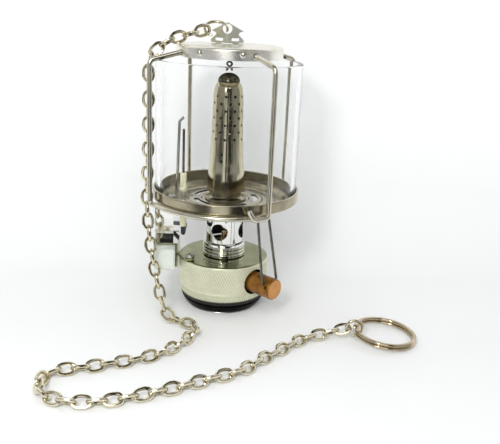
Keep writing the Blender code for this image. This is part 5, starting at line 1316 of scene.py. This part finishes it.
burner = turned("burner_tube_sheet", burner_profile(), burner_steel, "burner_tube", ease=0,
                steps=180, lift=seam)


def punches(bm):
    spots = [(math.tau * (2 * step + row % 2 + 0.5) / (2 * HOLES_PER_ROW), share)
             for row, share in enumerate(evenly(*HOLE_BAND, HOLE_ROWS - 1))
             for step in range(HOLES_PER_ROW)]
    spots += [(SEAM_AZIMUTH - 0.05, share) for share in SEAM_HOLES]
    for azimuth, share in spots:
        place = (Matrix.Translation((0, 0, burner_low.z + share * burner_height))
                 @ Matrix.Rotation(azimuth, 4, "Z") @ Matrix.Rotation(math.pi / 2, 4, "Y"))
        reach = burner_radius(share)
        bar(bm, HOLE_R, reach - BURNER_WALL - mm, reach + mm, place, 16)


cut(burner, "hole_punches", punches)
# The burner's inside and the walls of its holes get near black: painted shade.
repaint(burner, dark_inside_painted_shade, lambda middle, normal: middle.xy.dot(normal.xy) < 0
        or abs(middle.xy.normalized().dot(normal.xy)) < 0.3)
dome_low, dome_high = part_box("burner_cap")
DOME_R = dome_high.x
dome_foot = burner_high.z + 0.3 * mm
dome_profile = [(0, dome_low.z), (DOME_R - 0.9 * mm, dome_low.z),
                (DOME_R - 0.9 * mm, burner_high.z + 0.1 * mm)]
dome_profile += [(DOME_R * math.cos(angle), dome_foot + (dome_high.z - dome_foot) * math.sin(angle))
                 for angle in evenly(0, math.pi / 2, 16)[:-1]]
dome_profile.append((0, dome_high.z))
turned("burner_dome", dome_profile, blued, "burner_cap", ease=0.06 * mm, steps=96)
hook_low, hook_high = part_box("mantle_hook")


HOOK_WIRE_R = 0.4 * mm
HOOK_HALF_WIDTH = 1.3 * mm
HOOK_HALF_DEPTH = 0.55 * mm
HOOK_BENDS = ((-1.0, -1.0, 0.0), (-0.45, -1.0, 0.22), (0.3, -1.0, 0.5), (0.75, -0.6, 0.76),
              (0.0, 0.0, 1.0), (-0.75, 0.6, 0.76), (-0.3, 1.0, 0.5), (0.45, 1.0, 0.22),
              (1.0, 1.0, 0.0))
hook_rise = hook_high.z - hook_low.z - 2 * HOOK_WIRE_R
hook_route = smooth_route([Vector((x * HOOK_HALF_WIDTH, y * HOOK_HALF_DEPTH,
                                   hook_low.z + HOOK_WIRE_R + z * hook_rise))
                           for x, y, z in HOOK_BENDS], 6)
wire("mantle_hook_wire", hook_route, HOOK_WIRE_R, blued, "mantle_hook", sides=10)
print("burner:", len(burner.data.polygons), "faces,", HOLE_ROWS * HOLES_PER_ROW, "holes")

# %% [markdown]
# The spark electrode: a ceramic tube in a crimped metal sleeve, with a straight wire in its
# top. Sparks jump from that wire to the ground wire, which hooks over its tip. The ceramic gets
# a soft shoulder and a groove, because that is what tells it from plastic.

# %% Spark electrode
ceramic_low, ceramic_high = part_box("ceramic_insulator")
INSULATOR_R = 1.35 * mm
SLEEVE_R = 1.7 * mm
insulator_place = Matrix.Translation((INSULATOR_X, INSULATOR_Y, 0))
sleeve_low = dish_floor + 0.3 * mm
sleeve_high = sleeve_low + 4.4 * mm
turned("insulator_ceramic",
       [(0, ceramic_low.z), (INSULATOR_R, ceramic_low.z), (INSULATOR_R, sleeve_high + 0.2 * mm),
        (INSULATOR_R + 0.35 * mm, sleeve_high + 0.5 * mm),
        (INSULATOR_R + 0.2 * mm, sleeve_high + 1.6 * mm),
        (INSULATOR_R - 0.1 * mm, sleeve_high + 1.9 * mm),
        (INSULATOR_R, sleeve_high + 2.2 * mm), (INSULATOR_R, ceramic_high.z - 0.4 * mm),
        (INSULATOR_R - 0.35 * mm, ceramic_high.z), (0.8 * mm, ceramic_high.z),
        (0.8 * mm, ceramic_high.z - 3 * mm), (0, ceramic_high.z - 3 * mm)],
       ceramic, "ceramic_insulator", ease=0.12 * mm, steps=64, place=insulator_place)
turned("insulator_sleeve",
       [(INSULATOR_R + 0.05 * mm, sleeve_low), (SLEEVE_R, sleeve_low),
        (SLEEVE_R, sleeve_low + 0.7 * mm), (SLEEVE_R - 0.22 * mm, sleeve_low + 0.9 * mm),
        (SLEEVE_R - 0.22 * mm, sleeve_high - 1.0 * mm),
        (SLEEVE_R - 0.1 * mm, sleeve_high - 0.5 * mm),
        (INSULATOR_R + 0.25 * mm, sleeve_high), (INSULATOR_R + 0.05 * mm, sleeve_high)],
       cap_steel, "ceramic_insulator", ease=0.08 * mm, steps=64, place=insulator_place)
rod_low, rod_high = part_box("electrode_rod")
turned("electrode_wire",
       [(0, rod_low.z), (0.5 * mm, rod_low.z), (0.5 * mm, rod_high.z - 0.15 * mm),
        (0.35 * mm, rod_high.z), (0, rod_high.z)],
       dark_wire, "electrode_rod", ease=0.05 * mm, steps=32, place=insulator_place)
ground_low, ground_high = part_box("ground_electrode")
GROUND_R = 0.6 * mm
ground_top = ground_high.z - GROUND_R
ground_route = [Vector((INSULATOR_X - 2.75 * mm, INSULATOR_Y, ground_low.z)),
                Vector((INSULATOR_X - 1.7 * mm, INSULATOR_Y, ground_top - 1.8 * mm)),
                Vector((INSULATOR_X, INSULATOR_Y, ground_top))]
wire("ground_wire", rounded(ground_route, 0.8 * mm, 6), GROUND_R * 0.95, plain_steel,
     "ground_electrode")
print("spark gap:", round((ground_top - GROUND_R - rod_high.z) / mm, 1), "mm")

# %% [markdown]
# The igniter's bracket is folded from one chromed sheet. The solid model already has its outline,
# so a copy of that mesh is cleaned of its triangles and its edges are bevelled. The same trick
# serves the piezo unit, the button and the lug: a bevel catches the light where a sharp edge
# would look like paper.

# %% Bevelled copies of flat pieces
FLAT = math.radians(1)
BEVELLED = math.radians(40)
WELD = 0.002 * mm


def softened(name, node, finish, width, segments=3):
    """A copy of a node's mesh with its flat faces merged and its edges rounded."""
    bm = bmesh.new()
    bm.from_mesh(frame["nodes"][node].data)
    bmesh.ops.remove_doubles(bm, verts=bm.verts, dist=WELD)
    bmesh.ops.dissolve_limit(bm, angle_limit=FLAT, verts=bm.verts, edges=bm.edges)
    made = piece(name, bm, finish, node)
    modifier = made.modifiers.new("edges", "BEVEL")
    modifier.width = width
    modifier.segments = segments
    modifier.limit_method = "ANGLE"
    modifier.angle_limit = BEVELLED
    modifier.harden_normals = True
    return made


bracket = softened("igniter_bracket_sheet", "igniter_bracket", chrome, 0.2 * mm)
# The bracket's foot, up to 2 mm over the collar, gets the same darkened tone: painted shade.
repaint(bracket, collar_top_painted_shade, lambda middle, normal: middle.z < collar_high.z + 2 * mm)
softened("piezo_unit", "piezo_body", black_plastic, 0.35 * mm)
softened("push_button", "igniter_button", white_plastic, 0.3 * mm)
softened("folded_lug", "hanger_lug", lug_steel, 0.12 * mm, 2)
print("four pieces are bevelled copies")

# %% Screws and lead
SCREW_HEAD_R = 1.9 * mm
SCREW_HEAD = 1.3 * mm
SHANK_R = 1.1 * mm
SCREW_CROWN = 0.6 * mm
CROSS_REACH, CROSS_HALF = 1.1 * mm, 0.2 * mm
CROSS_TURN = 0.4
LEAD_BEND = 3.2 * mm


def pan_screw(name, node):
    low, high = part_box(node)
    centre = Matrix.Translation(((low.x + high.x) / 2, (low.y + high.y) / 2, 0))
    head = high.z - SCREW_HEAD
    crown = profile_arc((SCREW_HEAD_R - SCREW_CROWN, high.z - SCREW_CROWN), SCREW_CROWN, 0,
                        math.pi / 2, 6)
    made = turned(name, [(0, low.z), (SHANK_R, low.z), (SHANK_R, head), (SCREW_HEAD_R, head)]
                  + crown + [(0, high.z)], plain_steel, node, ease=0, steps=48, place=centre)
    corners = []
    for turn in range(4):
        spin = centre @ Matrix.Rotation(CROSS_TURN + turn * math.pi / 2, 4, "Z")
        corners += [(spin @ Vector((x, y, 0))).xy for x, y in (
            (CROSS_REACH, -CROSS_HALF), (CROSS_REACH, CROSS_HALF), (CROSS_HALF, CROSS_HALF))]
    cut(made, name + "_cross",
        lambda bm: prism(bm, corners, high.z - SCREW_CROWN, high.z + mm))
    print(name, len(made.data.polygons), "faces")


pan_screw("dish_pan_screw", "dish_screw")
pan_screw("collar_pan_screw", "collar_screw")
button_low, button_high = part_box("igniter_button")
igniter = (button_low + button_high) / 2
lead_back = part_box("piezo_body")[1].y + 0.3 * mm
lead_foot = ceramic_low.z - 0.3 * mm
lead_middle = (igniter.z + lead_foot) / 2
lead_corners = [(igniter.x, lead_back, igniter.z), (igniter.x, lead_back + LEAD_BEND, igniter.z),
                (igniter.x, lead_back + LEAD_BEND, lead_middle),
                (INSULATOR_X, lead_back / 2, lead_middle + LEAD_BEND),
                (INSULATOR_X, INSULATOR_Y, lead_foot - LEAD_BEND),
                (INSULATOR_X, INSULATOR_Y, lead_foot)]
wire("ignition_lead_wire", rounded([Vector(corner) for corner in lead_corners], LEAD_BEND, 10),
     0.95 * mm, black_plastic, "ignition_lead", ends_round=False)
print("lead ends at", round(lead_foot / mm, 1), "mm")

# %% [markdown]
# The globe is a plain tube of glass with fire polished rims. Real glass is a closed solid, and
# so is this one: light bends on the way in and on the way out, which draws the bright lines
# along its edges.

# %% Glass globe
globe_low, globe_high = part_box("glass_globe")
GLOBE_R = globe_high.x
GLOBE_WALL = 1.9 * mm
GLOBE_EASE = 0.4 * mm
globe_profile = [(GLOBE_R - GLOBE_WALL, globe_low.z), (GLOBE_R, globe_low.z),
                 (GLOBE_R, globe_high.z), (GLOBE_R - GLOBE_WALL, globe_high.z)]
turned("globe_glass", globe_profile, glass, "glass_globe", ease=GLOBE_EASE, steps=192)
print("globe:", round(2 * GLOBE_R / mm, 1), "mm wide")

# %% [markdown]
# Four spring wires hold everything together. Two start inside the cap, run down the globe and
# carry on as a hoop below the dish. The other two end in a short hook that catches the hoop.
# Each route is a list of corners, so a bend can be moved without touching the others.

# %% Spring wires
cap_low, cap_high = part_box("top_cap")
CAP_R = cap_high.x
CAP_HEIGHT = 4.5 * mm
CAP_WALL = 0.7 * mm
WIRE_R = 1.0 * mm
LEG_R = DISH_R + WIRE_R + 1.9 * mm
HOOP_R = DISH_R + WIRE_R + 0.3 * mm
FOOT_R = HOOP_R + 2 * WIRE_R + 0.5 * mm
FOOT_SPAN = math.radians(11)
WIRE_INNER_R = CAP_R - CAP_WALL - WIRE_R - 0.7 * mm
LEG_BEND = 2.6 * mm
exit_z = cap_low.z + 0.52 * CAP_HEIGHT
hoop_z = seat_z - SHEET - 0.15 * mm
LEGS = {"left": math.radians(-155), "front": math.radians(-60), "right": math.radians(35),
        "back": math.radians(122)}


def polar(radius, azimuth, height):
    return Vector((radius * math.cos(azimuth), radius * math.sin(azimuth), height))


def shoulder_z():
    """The slanted stretch just clears the globe's rim."""
    run = GLOBE_R - CAP_R
    drop = exit_z - globe_high.z - 0.3 * mm
    slope = drop / run
    for _ in range(8):
        slope = (drop - WIRE_R * math.sqrt(1 + slope ** 2)) / run
    return exit_z - slope * (LEG_R - CAP_R)


def leg_points(azimuth, turn, span):
    """From the tucked end inside the cap, out through the skirt and down the globe."""
    start = azimuth + turn * span
    points = [polar(CAP_R + 0.8 * mm, start + turn * span / 8, exit_z)]
    points += [polar(WIRE_INNER_R, start - turn * span * 0.8 * share, exit_z)
               for share in evenly(0, 1, 3)]
    return points + [polar(LEG_R, azimuth, shoulder_z()), polar(LEG_R, azimuth, hoop_z)]


def hoop_route(azimuth, other):
    """A leg that carries on as a hoop below the dish, nearly to the next leg."""
    arc = [polar(HOOP_R, angle, hoop_z)
           for angle in evenly(azimuth + FOOT_SPAN / 2, other - math.radians(4.5), 36)]
    points = leg_points(azimuth, 1, math.radians(30)) + [arc[0], arc[4]]
    return rounded(points, LEG_BEND, 8)[:-1] + arc[5:]


def catch_route(azimuth):
    """A leg that ends in a short hook round the hoop."""
    points = leg_points(azimuth, -1, math.radians(15))
    points += [polar(FOOT_R, azimuth - FOOT_SPAN, hoop_z),
               polar(FOOT_R, azimuth - FOOT_SPAN * 1.35, hoop_z + 4 * mm)]
    return rounded(points[:7], LEG_BEND, 8)[:-1] + rounded(points[5:], 1.4 * mm, 6)[1:]


wire_routes = {
    "left_wire": hoop_route(LEGS["left"], LEGS["front"]),
    "front_wire": catch_route(LEGS["front"]),
    "right_wire": hoop_route(LEGS["right"], LEGS["back"]),
    "back_wire": catch_route(LEGS["back"]),
}
for node, route in wire_routes.items():
    wire(node + "_drawn", route, WIRE_R, wire_steel, node, sides=16)
print("wires shoulder at", round(shoulder_z() / mm, 1), "mm")

# %% [markdown]
# The cap is a shallow pressed lid. Each wire leaves it through a slot in the skirt. The wires
# themselves, swept a little thicker, cut those slots: a slot then follows its wire exactly, as
# it would if the press had been laid out around it.

# %% Top cap
CAP_CORNER = 1.2 * mm
cap_skirt_top = cap_low.z + CAP_HEIGHT
cap_roof = cap_skirt_top - CAP_WALL


def cap_profile():
    inner = CAP_R - CAP_WALL
    flat_r = CAP_R - CAP_CORNER
    points = [(inner, cap_low.z), (CAP_R, cap_low.z)]
    points += profile_arc((flat_r, cap_skirt_top - CAP_CORNER), CAP_CORNER, 0, math.pi / 2, 10)
    points += [(flat_r * share, cap_skirt_top + (cap_high.z - cap_skirt_top) * (1 - share ** 2))
               for share in evenly(1, 0, 8)[1:]]
    return points + [(0, cap_roof), (inner - 0.6 * mm, cap_roof), (inner, cap_roof - 0.6 * mm)]


cap = turned("top_cap_lid", cap_profile(), cap_steel, "top_cap", ease=0, steps=160)
for node, route in wire_routes.items():
    cut(cap, "slot_for_" + node,
        lambda bm: sweep(bm, route[:80], WIRE_R + 0.3 * mm, 16, ends_round=False))
print("cap:", len(cap.data.polygons), "faces")

# %% [markdown]
# Here the pieces are counted.

# %% Finish
print("pieces:", len(pieces))
